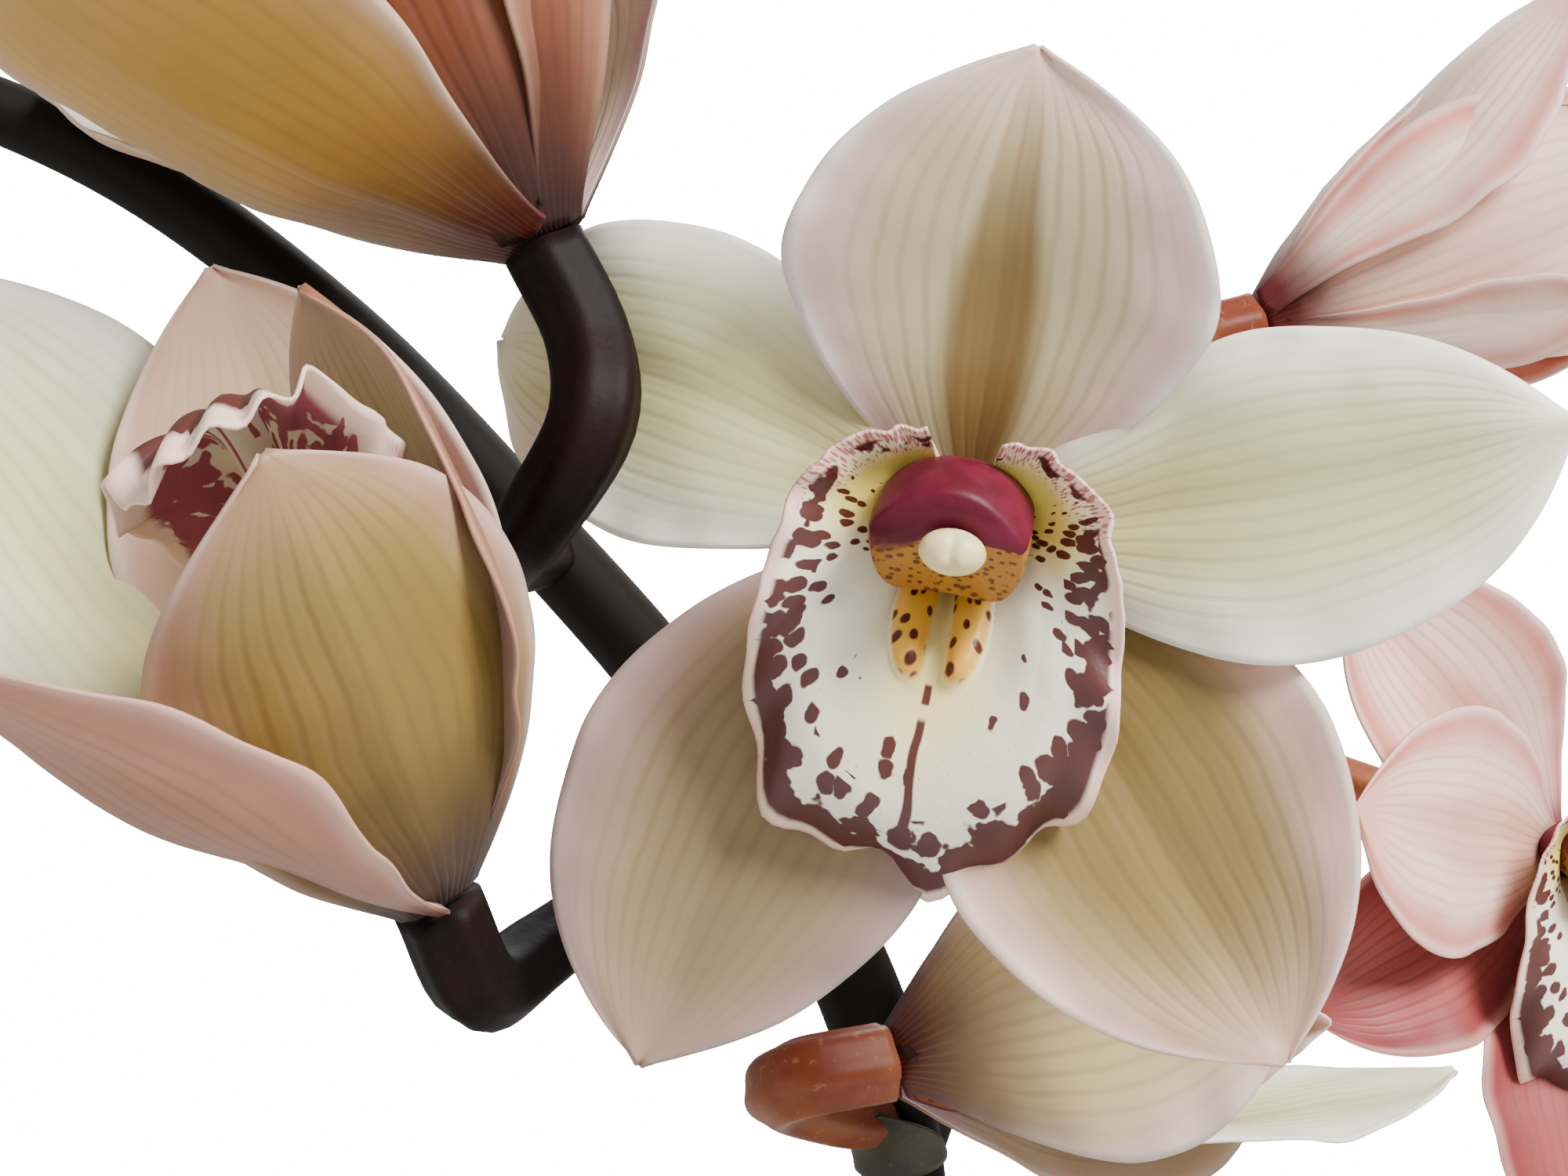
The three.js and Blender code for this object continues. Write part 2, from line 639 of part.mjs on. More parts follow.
const LEFT_FLOWER = {
  name: 'left_flower',
  at: [-36.2, -39, 443.4],
  facing: [-0.34, -0.42, 0.84],
  top: [0.17, 0.85, 0.5],
  lip: LEANING_LIP,
  pedicel: [[-9, 7, 455], [-18, -9, 442], [-27, -23, 435]],
  tepals: {
    left_petal: { turn: 160, length: 84, width: 50, rise: [52, 80], cup: [25, 25], level: PETAL },
    right_petal: { turn: 48, length: 66, width: 44, rise: [44, 112], cup: [30, 40], level: PETAL },
    dorsal_sepal: { turn: 104, length: 68, width: 44, rise: [60, 74], cup: [30, 40], level: SEPAL },
    left_sepal: { turn: 236, length: 68, width: 54, rise: [44, 72], cup: [30, 50], level: SEPAL },
    right_sepal: { turn: 310, length: 62, width: 46, rise: [52, 92], cup: [35, 50], level: SEPAL },
  },
};

const UPPER_FLOWER = {
  name: 'upper_flower',
  at: [-25.4, -36, 511.4],
  facing: [-0.43, 0.14, 0.89],
  top: [0.36, 0.93, 0.03],
  lip: HALF_OPEN_LIP,
  pedicel: [[-28, 1, 480], [-30, -16, 478], [-26, -37.5, 481.5], [-19.6, -42, 492]],
  tepals: {
    left_petal: { turn: 165, length: 72, width: 44, rise: [35, 55], cup: [25, 25], level: PETAL },
    right_petal: { turn: 15, length: 68, width: 42, rise: [60, 60], cup: [30, 30], level: PETAL },
    dorsal_sepal: { turn: 90, length: 70, width: 48, rise: [45, 60], cup: [30, 40], level: SEPAL },
    left_sepal: { turn: 236, length: 72, width: 52, rise: [34, 56], cup: [30, 40], level: SEPAL },
    right_sepal: { turn: 304, length: 68, width: 46, rise: [56, 80], cup: [35, 50], level: SEPAL },
  },
};

const LOWER_FLOWER = {
  name: 'lower_flower',
  at: [12.8, -1, 420],
  facing: [0.94, 0.31, 0.13],
  top: [-0.2, 0.82, -0.53],
  lip: HALF_OPEN_LIP,
  pedicel: [[14, 24, 408], [8, 16, 410], [0, 7, 414]],
  tepals: {
    left_petal: { turn: 160, length: 70, width: 38, rise: [60, 98], cup: [25, 25], level: PETAL },
    right_petal: { turn: 20, length: 74, width: 36, rise: [60, 100], cup: [30, 30], level: PETAL },
    dorsal_sepal: { turn: 90, length: 60, width: 42, rise: [58, 84], cup: [30, 40], level: SEPAL },
    left_sepal: { turn: 232, length: 62, width: 42, rise: [50, 66], cup: [30, 40], level: SEPAL },
    right_sepal: { turn: 276, length: 52, width: 46, rise: [34, 72], cup: [35, 50], level: SEPAL },
  },
};

const FAR_UPPER_FLOWER = {
  name: 'far_upper_flower',
  far: true,
  at: [69.2, 80, 513.6],
  facing: [0.91, 0.17, 0.37],
  top: [0.1, 0.85, -0.51],
  lip: HALF_OPEN_LIP,
  pedicel: [[76, 92, 482], [66, 90, 494]],
  tepals: {
    left_petal: { turn: 160, length: 66, width: 38, rise: [62, 76], cup: [25, 25], level: PETAL },
    right_petal: { turn: 20, length: 66, width: 38, rise: [60, 78], cup: [30, 30], level: PETAL },
    dorsal_sepal: { turn: 90, length: 66, width: 42, rise: [60, 76], cup: [30, 40], level: SEPAL },
    left_sepal: { turn: 232, length: 66, width: 42, rise: [58, 72], cup: [30, 40], level: SEPAL },
    right_sepal: { turn: 305, length: 66, width: 44, rise: [60, 78], cup: [35, 50], level: SEPAL },
  },
};

const FAR_LOWER_FLOWER = {
  name: 'far_lower_flower',
  far: true,
  at: [111.7, 80, 437],
  facing: [0.35, -1, 0],
  top: [-0.1, 0, 1],
  lip: OPEN_LIP,
  pedicel: [[60, 93, 454], [84, 104, 446]],
  tepals: {
    left_petal: { turn: 164, length: 54, width: 36, rise: [35, 20], cup: [15, 5], level: PETAL },
    right_petal: { turn: 17, length: 62, width: 36, rise: [25, 10], cup: [15, 5], level: PETAL },
    dorsal_sepal: { turn: 134, length: 60, width: 36, rise: [25, 10], cup: [30, 40], level: SEPAL },
    left_sepal: { turn: 196, length: 52, width: 34, rise: [20, 10], cup: [30, 40], level: SEPAL },
    right_sepal: { turn: 262, length: 60, width: 40, rise: [20, 10], cup: [20, 20], level: SEPAL },
  },
};

function addFlower(flower) {
  addPiece(`${flower.name}_column`, COLOURS.column, 0.4, (grow) => makeColumn(flower, grow));
  addPiece(`${flower.name}_anther_cap`, COLOURS.cap, 0.45, (grow) => makeCap(flower, grow));
  addPiece(`${flower.name}_lip`, COLOURS.lip, 0.5, (grow) => makeLip(flower, grow));
  for (const [name, tepal] of Object.entries(flower.tepals)) {
    const colour = name.endsWith('petal') ? COLOURS.petal : COLOURS.sepal;
    addPiece(`${flower.name}_${name}`, colour, 0.5, (grow) => makeTepal(flower, tepal, grow));
  }
  addPiece(`${flower.name}_pedicel`, COLOURS.pedicel, 0.35, (grow) => makePedicel(flower, grow));
}

// A flower of the far spike is one piece with its pedicel: everything joins at a small receptacle.
function makeWholeFlower(flower, grow) {
  const heart = new THREE.SphereGeometry((TEPAL_START + 3.5) * FLOWER_SCALE + grow, 8, 5);
  heart.applyMatrix4(flowerMatrix(flower));
  let whole = toSolid(heart);
  whole = whole.add(makeColumn(flower, grow));
  whole = whole.add(makeLip(flower, grow));
  for (const tepal of Object.values(flower.tepals)) {
    whole = whole.add(makeTepal(flower, tepal, grow));
  }
  return whole.add(makePedicel(flower, grow));
}

// ---------------------------------------------------------------- the plant in its pot

addPiece('spike_stem', COLOURS.stem, 0.4, makeSpike);
addPiece('far_spike_stem', COLOURS.stem, 0.4, makeFarSpike);
addPiece('support_cane', COLOURS.cane, 0.6, makeCane);
addPiece('cane_tie', COLOURS.tie, 0.8, makeTie);
for (const flower of [MAIN_FLOWER, UPPER_FLOWER, LEFT_FLOWER, LOWER_FLOWER]) {
  addFlower(flower);
}
for (const flower of [FAR_UPPER_FLOWER, FAR_LOWER_FLOWER]) {
  addPiece(flower.name, COLOURS.farFlower, 0.55, (grow) => makeWholeFlower(flower, grow));
}
BULBS.forEach((bulb, i) => {
  addPiece(`pseudobulb_${i + 1}`, COLOURS.bulb, 0.5, (grow) => makeBulb(bulb, grow));
});
LEAVES.forEach((leaf, i) => {
  addPiece(`leaf_${String(i + 1).padStart(2, '0')}`, COLOURS.leaf, 0.45, (grow) => makeLeaf(leaf, grow));
});
addPiece('potting_bark', COLOURS.bark, 0.95, makeBark);
addPiece('pot', COLOURS.terracotta, 0.8, makePot);

export default group;
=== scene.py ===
"""The looks of a potted cymbidium orchid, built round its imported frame.

The frame gives where every piece is: a flower's heart comes from its CAD column, a leaf's foot from its
pseudobulb, the stems' foot from the bark. Lengths in this script are in millimetres until MM brings
them to metres.
"""
import random
from math import cos, degrees, exp, log, pi, radians, sin, sqrt, tau

import bmesh
import bpy
from mathutils import Matrix, Vector, noise


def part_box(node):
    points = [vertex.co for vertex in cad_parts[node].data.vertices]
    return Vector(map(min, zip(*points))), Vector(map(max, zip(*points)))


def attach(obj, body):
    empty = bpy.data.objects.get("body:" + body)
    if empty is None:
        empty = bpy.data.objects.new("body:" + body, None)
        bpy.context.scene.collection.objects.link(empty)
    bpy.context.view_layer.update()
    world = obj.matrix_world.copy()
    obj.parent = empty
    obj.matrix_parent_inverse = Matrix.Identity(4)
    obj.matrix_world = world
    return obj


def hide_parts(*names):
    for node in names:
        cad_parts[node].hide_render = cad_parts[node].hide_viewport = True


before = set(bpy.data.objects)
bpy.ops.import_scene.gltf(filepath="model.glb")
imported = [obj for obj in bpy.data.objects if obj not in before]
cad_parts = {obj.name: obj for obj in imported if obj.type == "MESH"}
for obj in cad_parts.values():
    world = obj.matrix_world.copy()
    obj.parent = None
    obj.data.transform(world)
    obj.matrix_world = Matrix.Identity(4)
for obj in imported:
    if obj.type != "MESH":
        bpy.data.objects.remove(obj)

MM = 0.001
UP = Vector((0, 0, 1))
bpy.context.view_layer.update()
BARK_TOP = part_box("potting_bark")[1].z / MM - 5  # the bark heaps up 5 mm in the middle


# ------ numbers and curves

def mix(a, b, t):
    return a + (b - a) * t


def clamp(x, low=0.0, high=1.0):
    return max(low, min(high, x))


def smooth(x, low, high):
    """0 below low, 1 above high, and an easy slope between; low may be above high."""
    t = clamp((x - low) / (high - low))
    return t * t * (3 - 2 * t)


def table(x, xs, ys):
    """The value at x on straight lines through the points (xs[i], ys[i])."""
    i = 1
    while i < len(xs) - 1 and xs[i] < x:
        i += 1
    return mix(ys[i - 1], ys[i], clamp((x - xs[i - 1]) / (xs[i] - xs[i - 1])))


def waver(x, y, z):
    """Smooth noise at a point."""
    return noise.noise(Vector((x, y, z)))


def above(x, y, z):
    """A point of the plant, its height measured from the bark's surface."""
    return Vector((x, y, BARK_TOP + z))


def smooth_path(points, steps):
    """Even steps along a smooth curve through the points (centripetal Catmull-Rom)."""
    ends = [points[0] * 2 - points[1], *points, points[-1] * 2 - points[-2]]
    fine = []
    for i in range(1, len(ends) - 2):
        p0, p1, p2, p3 = ends[i - 1:i + 3]
        k1 = sqrt(max(1e-6, (p1 - p0).length))
        k2 = k1 + sqrt(max(1e-6, (p2 - p1).length))
        k3 = k2 + sqrt(max(1e-6, (p3 - p2).length))
        for j in range(24):
            k = mix(k1, k2, j / 24)
            a1 = p0.lerp(p1, k / k1)
            a2 = p1.lerp(p2, (k - k1) / (k2 - k1))
            a3 = p2.lerp(p3, (k - k2) / (k3 - k2))
            b1 = a1.lerp(a2, k / k2)
            b2 = a2.lerp(a3, (k - k1) / (k3 - k1))
            fine.append(b1.lerp(b2, (k - k1) / (k2 - k1)))
    fine.append(points[-1].copy())
    return even_steps(fine, steps)


def even_steps(line, steps):
    """The same line at even steps along its length."""
    travelled = [0.0]
    for a, b in zip(line, line[1:]):
        travelled.append(travelled[-1] + (b - a).length)
    even, i = [], 0
    for step in range(steps + 1):
        want = travelled[-1] * step / steps
        while i < len(line) - 2 and travelled[i + 1] < want:
            i += 1
        span = max(1e-9, travelled[i + 1] - travelled[i])
        even.append(line[i].lerp(line[i + 1], clamp((want - travelled[i]) / span)))
    return even


def path_frames(line):
    """Two crossways directions at each point of a line, carried along it without twisting."""
    frames = []
    side = None
    for i, here in enumerate(line):
        way = (line[min(i + 1, len(line) - 1)] - line[max(i - 1, 0)]).normalized()
        if side is None:
            side = way.orthogonal().normalized()
        side = (side - way * side.dot(way)).normalized()
        frames.append((side, way.cross(side)))
    return frames


# ------ meshes

def sheet(name, across, along, place, closed=False):
    """A grid of across by along cells bent by place(u, v), both from 0 to 1, kept as UV map "shape".

    closed joins its two side edges and any edge that place gathers into a point."""
    bm = bmesh.new()
    uv = bm.loops.layers.uv.new("shape")
    bmesh.ops.create_grid(bm, x_segments=across, y_segments=along, size=0.5)
    flat = {vert: (vert.co.x + 0.5, vert.co.y + 0.5) for vert in bm.verts}
    for face in bm.faces:
        for loop in face.loops:
            loop[uv].uv = flat[loop.vert]
    for vert, (u, v) in flat.items():
        vert.co = place(u, v) * MM
    bmesh.ops.remove_doubles(bm, verts=bm.verts, dist=1e-6)
    if closed:
        bmesh.ops.recalc_face_normals(bm, faces=bm.faces)
    else:
        bmesh.ops.reverse_faces(bm, faces=bm.faces)
    return finish_mesh(name, bm)


def finish_mesh(name, bm):
    mesh = bpy.data.meshes.new(name)
    bm.to_mesh(mesh)
    bm.free()
    mesh.polygons.foreach_set("use_smooth", [True] * len(mesh.polygons))
    piece = bpy.data.objects.new(name.replace(" ", "_"), mesh)
    bpy.context.scene.collection.objects.link(piece)
    return piece


def thicken(piece, thickness, edge_share, edge_of):
    """Gives a sheet its thickness, thinner where edge_of(u, v) comes near 1; its back is slot 1."""
    group = piece.vertex_groups.new(name="body")
    uvs = piece.data.uv_layers["shape"].data
    seen = {}
    for loop, data in zip(piece.data.loops, uvs):
        seen[loop.vertex_index] = tuple(data.uv)
    for index, (u, v) in seen.items():
        group.add([index], clamp(1 - edge_of(u, v)), "REPLACE")
    solid = piece.modifiers.new("thickness", "SOLIDIFY")
    solid.thickness = thickness * MM
    solid.offset = 0
    solid.vertex_group = "body"
    solid.thickness_vertex_group = edge_share
    solid.use_even_offset = False
    solid.material_offset = 1
    solid.material_offset_rim = 1
    return piece


def tube(name, line, radius_at, around=20, ribs=0, rib_depth=0.0):
    """A closed bar along a line, with radius_at(t); ribs run along it."""
    frames = path_frames(line)
    last = len(line) - 1

    def place(u, v):
        f = clamp(v) * last
        i = min(last, int(round(f)))
        angle = u * tau
        radius = radius_at(i / last) * (1 + rib_depth * cos(ribs * angle))
        if i in (0, last):
            radius = 0.0
        side, up = frames[i]
        return line[i] + side * (radius * cos(angle)) + up * (radius * sin(angle))

    return sheet(name, around, last, place, closed=True)


def with_ends(line):
    """Repeats a line's first and last points, so that a tube along it ends in flat caps."""
    return [line[0] - (line[1] - line[0]) * 1e-3, *line, line[-1] + (line[-1] - line[-2]) * 1e-3]


def paint(piece, *materials):
    piece.data.materials.clear()
    for material in materials:
        piece.data.materials.append(material)
    return piece


def settle(piece, slot, *nodes):
    """Every piece rides on the one body and hides the CAD nodes it stands for; slot is not used."""
    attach(piece, "root")
    if nodes:
        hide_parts(*nodes)
    return piece


# ------ shader building

class Value:
    """A shader value that arithmetic can be written with."""

    def __init__(self, nodes, socket):
        self.nodes, self.socket = nodes, socket

    def __add__(self, other):
        return self.nodes.math("ADD", self, other)

    def __sub__(self, other):
        return self.nodes.math("SUBTRACT", self, other)

    def __mul__(self, other):
        return self.nodes.math("MULTIPLY", self, other)

    def __truediv__(self, other):
        return self.nodes.math("DIVIDE", self, other)

    def __abs__(self):
        return self.nodes.math("ABSOLUTE", self)


class Nodes:
    """Short calls that add shader nodes; a value that is a socket is linked, any other is set."""

    def __init__(self, tree):
        self.tree = tree

    def add(self, kind, inputs=None, **settings):
        node = self.tree.nodes.new(kind)
        for name, value in settings.items():
            setattr(node, name, value)
        for key, value in (inputs or {}).items():
            value = value.socket if isinstance(value, Value) else value
            if isinstance(value, bpy.types.NodeSocket):
                self.tree.links.new(value, node.inputs[key])
            else:
                node.inputs[key].default_value = value
        return node

    def math(self, operation, a, b=0.0):
        return Value(self, self.add("ShaderNodeMath", {0: a, 1: b}, operation=operation).outputs[0])

    def larger(self, first, *others):
        for other in others:
            first = self.math("MAXIMUM", first, other)
        return first

    def ramp(self, x, low, high, bottom=0.0, top=1.0):
        """An easy slope from bottom at low to top at high."""
        node = self.add("ShaderNodeMapRange", {0: x, 1: low, 2: high, 3: bottom, 4: top},
                        interpolation_type="SMOOTHSTEP")
        return Value(self, node.outputs[0])

    def blend(self, factor, a, b, mode="MIX"):
        node = self.add("ShaderNodeMix", {0: factor, 6: a, 7: b}, data_type="RGBA", blend_type=mode)
        return node.outputs[2]

    def noise(self, vector, scale, detail):
        node = self.add("ShaderNodeTexNoise", {"Vector": vector, "Scale": scale, "Detail": detail})
        return Value(self, node.outputs[0])

    def cells(self, vector, scale=1.0, dimensions="2D", jitter=1.0):
        """Scattered cells: the distance from each one's middle, and a chance of its own."""
        node = self.add("ShaderNodeTexVoronoi", {"Vector": vector, "Scale": scale, "Randomness": jitter},
                        voronoi_dimensions=dimensions)
        return Value(self, node.outputs["Distance"]), self.split(node.outputs["Color"])[0]

    def uv(self, name="shape"):
        return self.add("ShaderNodeUVMap", uv_map=name).outputs[0]

    def split(self, vector):
        return [Value(self, x) for x in self.add("ShaderNodeSeparateXYZ", {0: vector}).outputs]

    def join(self, x, y):
        return self.add("ShaderNodeCombineXYZ", {0: x, 1: y}).outputs[0]

    def place(self):
        return self.add("ShaderNodeTexCoord").outputs["Object"]


def effect(name, inputs, build):
    """A node group that puts out a colour and a height. inputs holds the labels of each kind of socket."""
    tree = bpy.data.node_groups.new(name, "ShaderNodeTree")
    for kind, labels in inputs.items():
        for label in labels.split(", "):
            tree.interface.new_socket(label, in_out="INPUT", socket_type="NodeSocket" + kind)
    for label, kind in (("Colour", "Color"), ("Height", "Float")):
        tree.interface.new_socket(label, in_out="OUTPUT", socket_type="NodeSocket" + kind)
    nodes = Nodes(tree)
    nodes.add("NodeGroupOutput", build(nodes, tree.nodes.new("NodeGroupInput").outputs))
    return tree


def rgb(text):
    """A colour written as six hex digits, brought to linear light."""
    parts = [int(text[i:i + 2], 16) / 255 for i in (0, 2, 4)]
    return (*[((c + 0.055) / 1.055) ** 2.4 if c > 0.04045 else c / 12.92 for c in parts], 1.0)


VEINS = 17.0  # across a sepal or petal


def petal_effect(nodes, given):
    """Colour over a sepal or petal: veins, midrib band, blush at the margin, and a base darkened partly by
    stain and partly by painted shade.
    """
    ramp, blend = nodes.ramp, nodes.blend
    u, v, _ = nodes.split(nodes.uv())
    from_rib = abs(u * 2.0 - 1.0)
    where = nodes.place()
    cloud = nodes.noise(where, 45.0, 4.0)
    wander = (nodes.noise(where, 70.0, 2.0) - 0.5) * 0.05
    off_vein = abs(nodes.math("FRACT", (u + wander) * VEINS) - 0.5)
    vein = ramp(off_vein, 0.3, 0.0) * ramp(from_rib, 0.96, 0.55) * ramp(v, 1.0, 0.8)
    vein = vein * ramp(cloud, 0.34, 0.62, 0.35, 1.0)
    blush = ramp(from_rib + (cloud - 0.5) * 0.5, given["Blush from"], 1.0)
    blush = nodes.larger(blush, ramp(v, 0.72, 1.0) * 0.6)
    colour = blend(blush, given["Middle"], given["Blush"])
    reach = ramp(v, 0.1, 0.9, 1.7, 0.7) * given["Rib width"]
    band = ramp(from_rib / reach, 1.15, 0.55) * ramp(v, 1.1, 0.5)
    colour = blend(band * given["Rib strength"], colour, given["Rib"])
    colour = blend(ramp(from_rib, 0.86, 0.99) * 0.7, colour, given["Rim"])
    # darker towards the base: partly the tepal's own stain, partly painted shade where the tepals meet round
    # the heart
    stain_and_shade_at = v + (cloud - 0.5) * 0.25 + from_rib * 0.06
    colour = blend(ramp(stain_and_shade_at, given["Stain reach"], 0.04), colour, given["Stain"])
    colour = blend(vein * given["Vein strength"], colour, given["Vein"])
    shade = ramp(cloud, 0.3, 0.7, 0.9, 1.06)
    grey = nodes.add("ShaderNodeCombineColor", {0: shade, 1: shade, 2: shade}).outputs[0]
    colour = blend(1.0, colour, grey, "MULTIPLY")
    return {"Colour": colour, "Height": nodes.noise(where, 900.0, 2.0) * 0.25 - vein * 0.6}


PETAL = effect("petal_paint", {
    "Color": "Middle, Blush, Rib, Rim, Stain, Vein",
    "Float": "Blush from, Rib width, Rib strength, Stain reach, Vein strength"}, petal_effect)


def lip_effect(nodes, given):
    """Colour over a lip: maroon blotches that crowd towards the frill, specks, a centre line.

    UV map "polar" holds the angle round the lip and the reach along it, "marks" the height of the
    two ridges."""
    ramp, blend = nodes.ramp, nodes.blend
    _, v, _ = nodes.split(nodes.uv())
    turn, reach, _ = nodes.split(nodes.uv("polar"))
    angle = abs(turn)
    where = nodes.place()
    wobble = nodes.add("ShaderNodeTexNoise", {"Vector": where, "Scale": 420.0, "Detail": 2.0})
    jog, slip, _ = [part - 0.5 for part in nodes.split(wobble.outputs["Color"])]

    # blotches, which run together near the frill of the front lobe
    distance, chance = nodes.cells(nodes.join(turn * 10.5 + jog * 0.7, reach * 8.0 + slip * 0.6), jitter=0.8)
    crowd = nodes.larger(ramp(v, 0.6, 0.86), ramp(angle, 0.9, 1.5, 0.0, 0.5))
    size = (crowd * 0.16 + 0.29) * nodes.math("GREATER_THAN", chance + crowd, 0.8)
    size = size * ramp(v, 0.44, 0.52) * ramp(v, 0.975, 0.92) * ramp(angle, 2.1, 1.5)
    blot = ramp(distance - size, 0.05, -0.03)
    spread = nodes.noise(where, 340.0, 2.0) + ramp(v, 0.68, 0.9, -0.3, 0.24)
    spread = spread - ramp(angle, 0.5, 1.4, 0.0, 0.24)
    merged = ramp(spread, 0.5, 0.55) * ramp(v, 0.965, 0.935)

    # specks on the side lobes
    distance, _ = nodes.cells(nodes.join(turn * 34.0, reach * 20.0))
    speck_size = ramp(angle, 1.4, 1.9) * ramp(v, 0.68, 0.95, 0.0, 0.36)
    speck = ramp(distance - speck_size, 0.06, -0.06)

    # the centre line, with a dash above it
    off = abs(turn + 0.02 + (nodes.noise(where, 160.0, 1.0) - 0.5) * 0.05) * (v + 0.35)
    dash = ramp(v, 0.36, 0.37) * ramp(v, 0.42, 0.41)
    run = nodes.larger(dash, ramp(v, 0.44, 0.46) * ramp(v, 0.79, 0.76))
    line = ramp(off, 0.024, 0.014) * run

    # dots on the ridges
    ridge, _, _ = nodes.split(nodes.uv("marks"))
    distance, _ = nodes.cells(nodes.join(turn * 8.0, v * 17.0))
    dot = ramp(distance, 0.28, 0.18) * ramp(ridge, 0.3, 0.6)

    sunny = ramp(angle, 0.7, 0.0) * ramp(v, 0.75, 0.35)
    colour = blend(sunny * 0.75, given["Ground"], given["Yellow"])
    inner = ramp(angle, 1.1, 1.7) * ramp(v, 0.98, 0.72)
    colour = blend(inner, colour, given["Yellow"])
    colour = blend(ramp(v + jog * 0.06, 0.88, 0.99) * 0.85, colour, given["Frill"])
    colour = blend(ramp(ridge, 0.1, 0.75, 0.0, 0.92), colour, given["Callus"])
    colour = blend(speck * 0.75, colour, given["Speck"])
    dark = nodes.larger(blot, merged, line, dot)
    colour = blend(dark * 0.97, colour, given["Maroon"])
    return {"Colour": colour, "Height": nodes.noise(where, 1500.0, 2.0) * 0.4 - dark * 0.25}


LIP = effect("lip_paint", {"Color": "Ground, Yellow, Frill, Callus, Speck, Maroon"}, lip_effect)


def skin_effect(nodes, given):
    """Two tones in clouds with fine grain; a piece's "tone" values shift it towards the second."""
    ramp, blend = nodes.ramp, nodes.blend
    where = nodes.add("ShaderNodeMapping", {"Vector": nodes.place(), "Scale": given["Stretch"]}).outputs[0]
    cloud = nodes.noise(where, given["Cloud scale"], 5.0)
    grain = nodes.noise(where, given["Grain scale"], 3.0)
    own = Value(nodes, nodes.add("ShaderNodeAttribute", attribute_name="tone").outputs["Fac"])
    colour = blend(ramp(cloud + own * 0.25, 0.38, 0.64), given["Tone"], given["Second tone"])
    colour = blend(ramp(grain, 0.62, 0.7) * given["Grain strength"], colour, given["Grain"])
    return {"Colour": colour, "Height": cloud * 0.6 + grain * 0.5}


SKIN = effect("living_skin", {
    "Color": "Tone, Second tone, Grain", "Vector": "Stretch",
    "Float": "Cloud scale, Grain scale, Grain strength"}, skin_effect)


def finish_material(name, source, values, roughness, bump, bump_mm, clear=0.0, **shader):
    """A material on one effect; clear is how much light a thin piece lets through."""
    material = bpy.data.materials.new(name)
    material.use_nodes = True
    tree = material.node_tree
    tree.nodes.clear()
    nodes = Nodes(tree)
    fx = nodes.add("ShaderNodeGroup")
    fx.node_tree = source
    for label, value in values.items():
        fx.inputs[label].default_value = value
    relief = nodes.add("ShaderNodeBump", {"Strength": bump, "Distance": bump_mm * MM,
                                          "Height": fx.outputs["Height"]})
    inputs = {"Base Color": fx.outputs["Colour"], "Roughness": roughness, "Normal": relief.outputs[0]}
    inputs.update({label.replace("_", " "): value for label, value in shader.items()})
    surface = nodes.add("ShaderNodeBsdfPrincipled", inputs).outputs[0]
    if clear:
        through = nodes.add("ShaderNodeBsdfTranslucent", {"Color": fx.outputs["Colour"]}).outputs[0]
        surface = nodes.add("ShaderNodeMixShader", {0: clear, 1: surface, 2: through}).outputs[0]
    nodes.add("ShaderNodeOutputMaterial", {"Surface": surface})
    return material


def named_tints(labels, tints):
    return {label: rgb(tint) for label, tint in zip(labels.split(", "), tints.split(), strict=True)}


def petal_material(name, tints, blush_from, rib_width, rib_strength, vein_strength, stain_and_shade_reach):
    """tints are the colours of the middle, blush, midrib, the base's stain and painted shade, veins and rim.
    """
    values = named_tints("Middle, Blush, Rib, Stain, Vein, Rim", tints)
    values.update({
        "Blush from": blush_from, "Rib width": rib_width, "Rib strength": rib_strength,
        "Vein strength": vein_strength, "Stain reach": stain_and_shade_reach})
    return finish_material(name, PETAL, values, 0.48, 0.35, 0.25, clear=0.22, Specular_IOR_Level=0.35,
                           Sheen_Weight=0.08)


def skin_material(name, tints, surface, scales, strength=0.4, stretch=1.0, clear=0.0, **shader):
    """tints are the two tones and the grain, surface the roughness and the bump's strength and depth.

    scales are those of the clouds and the grain; stretch draws both out along the height."""
    values = named_tints("Tone, Second tone, Grain", tints)
    values.update({"Stretch": (1, 1, stretch), "Cloud scale": scales[0], "Grain scale": scales[1],
                   "Grain strength": strength})
    return finish_material(name, SKIN, values, *surface, clear, **shader)
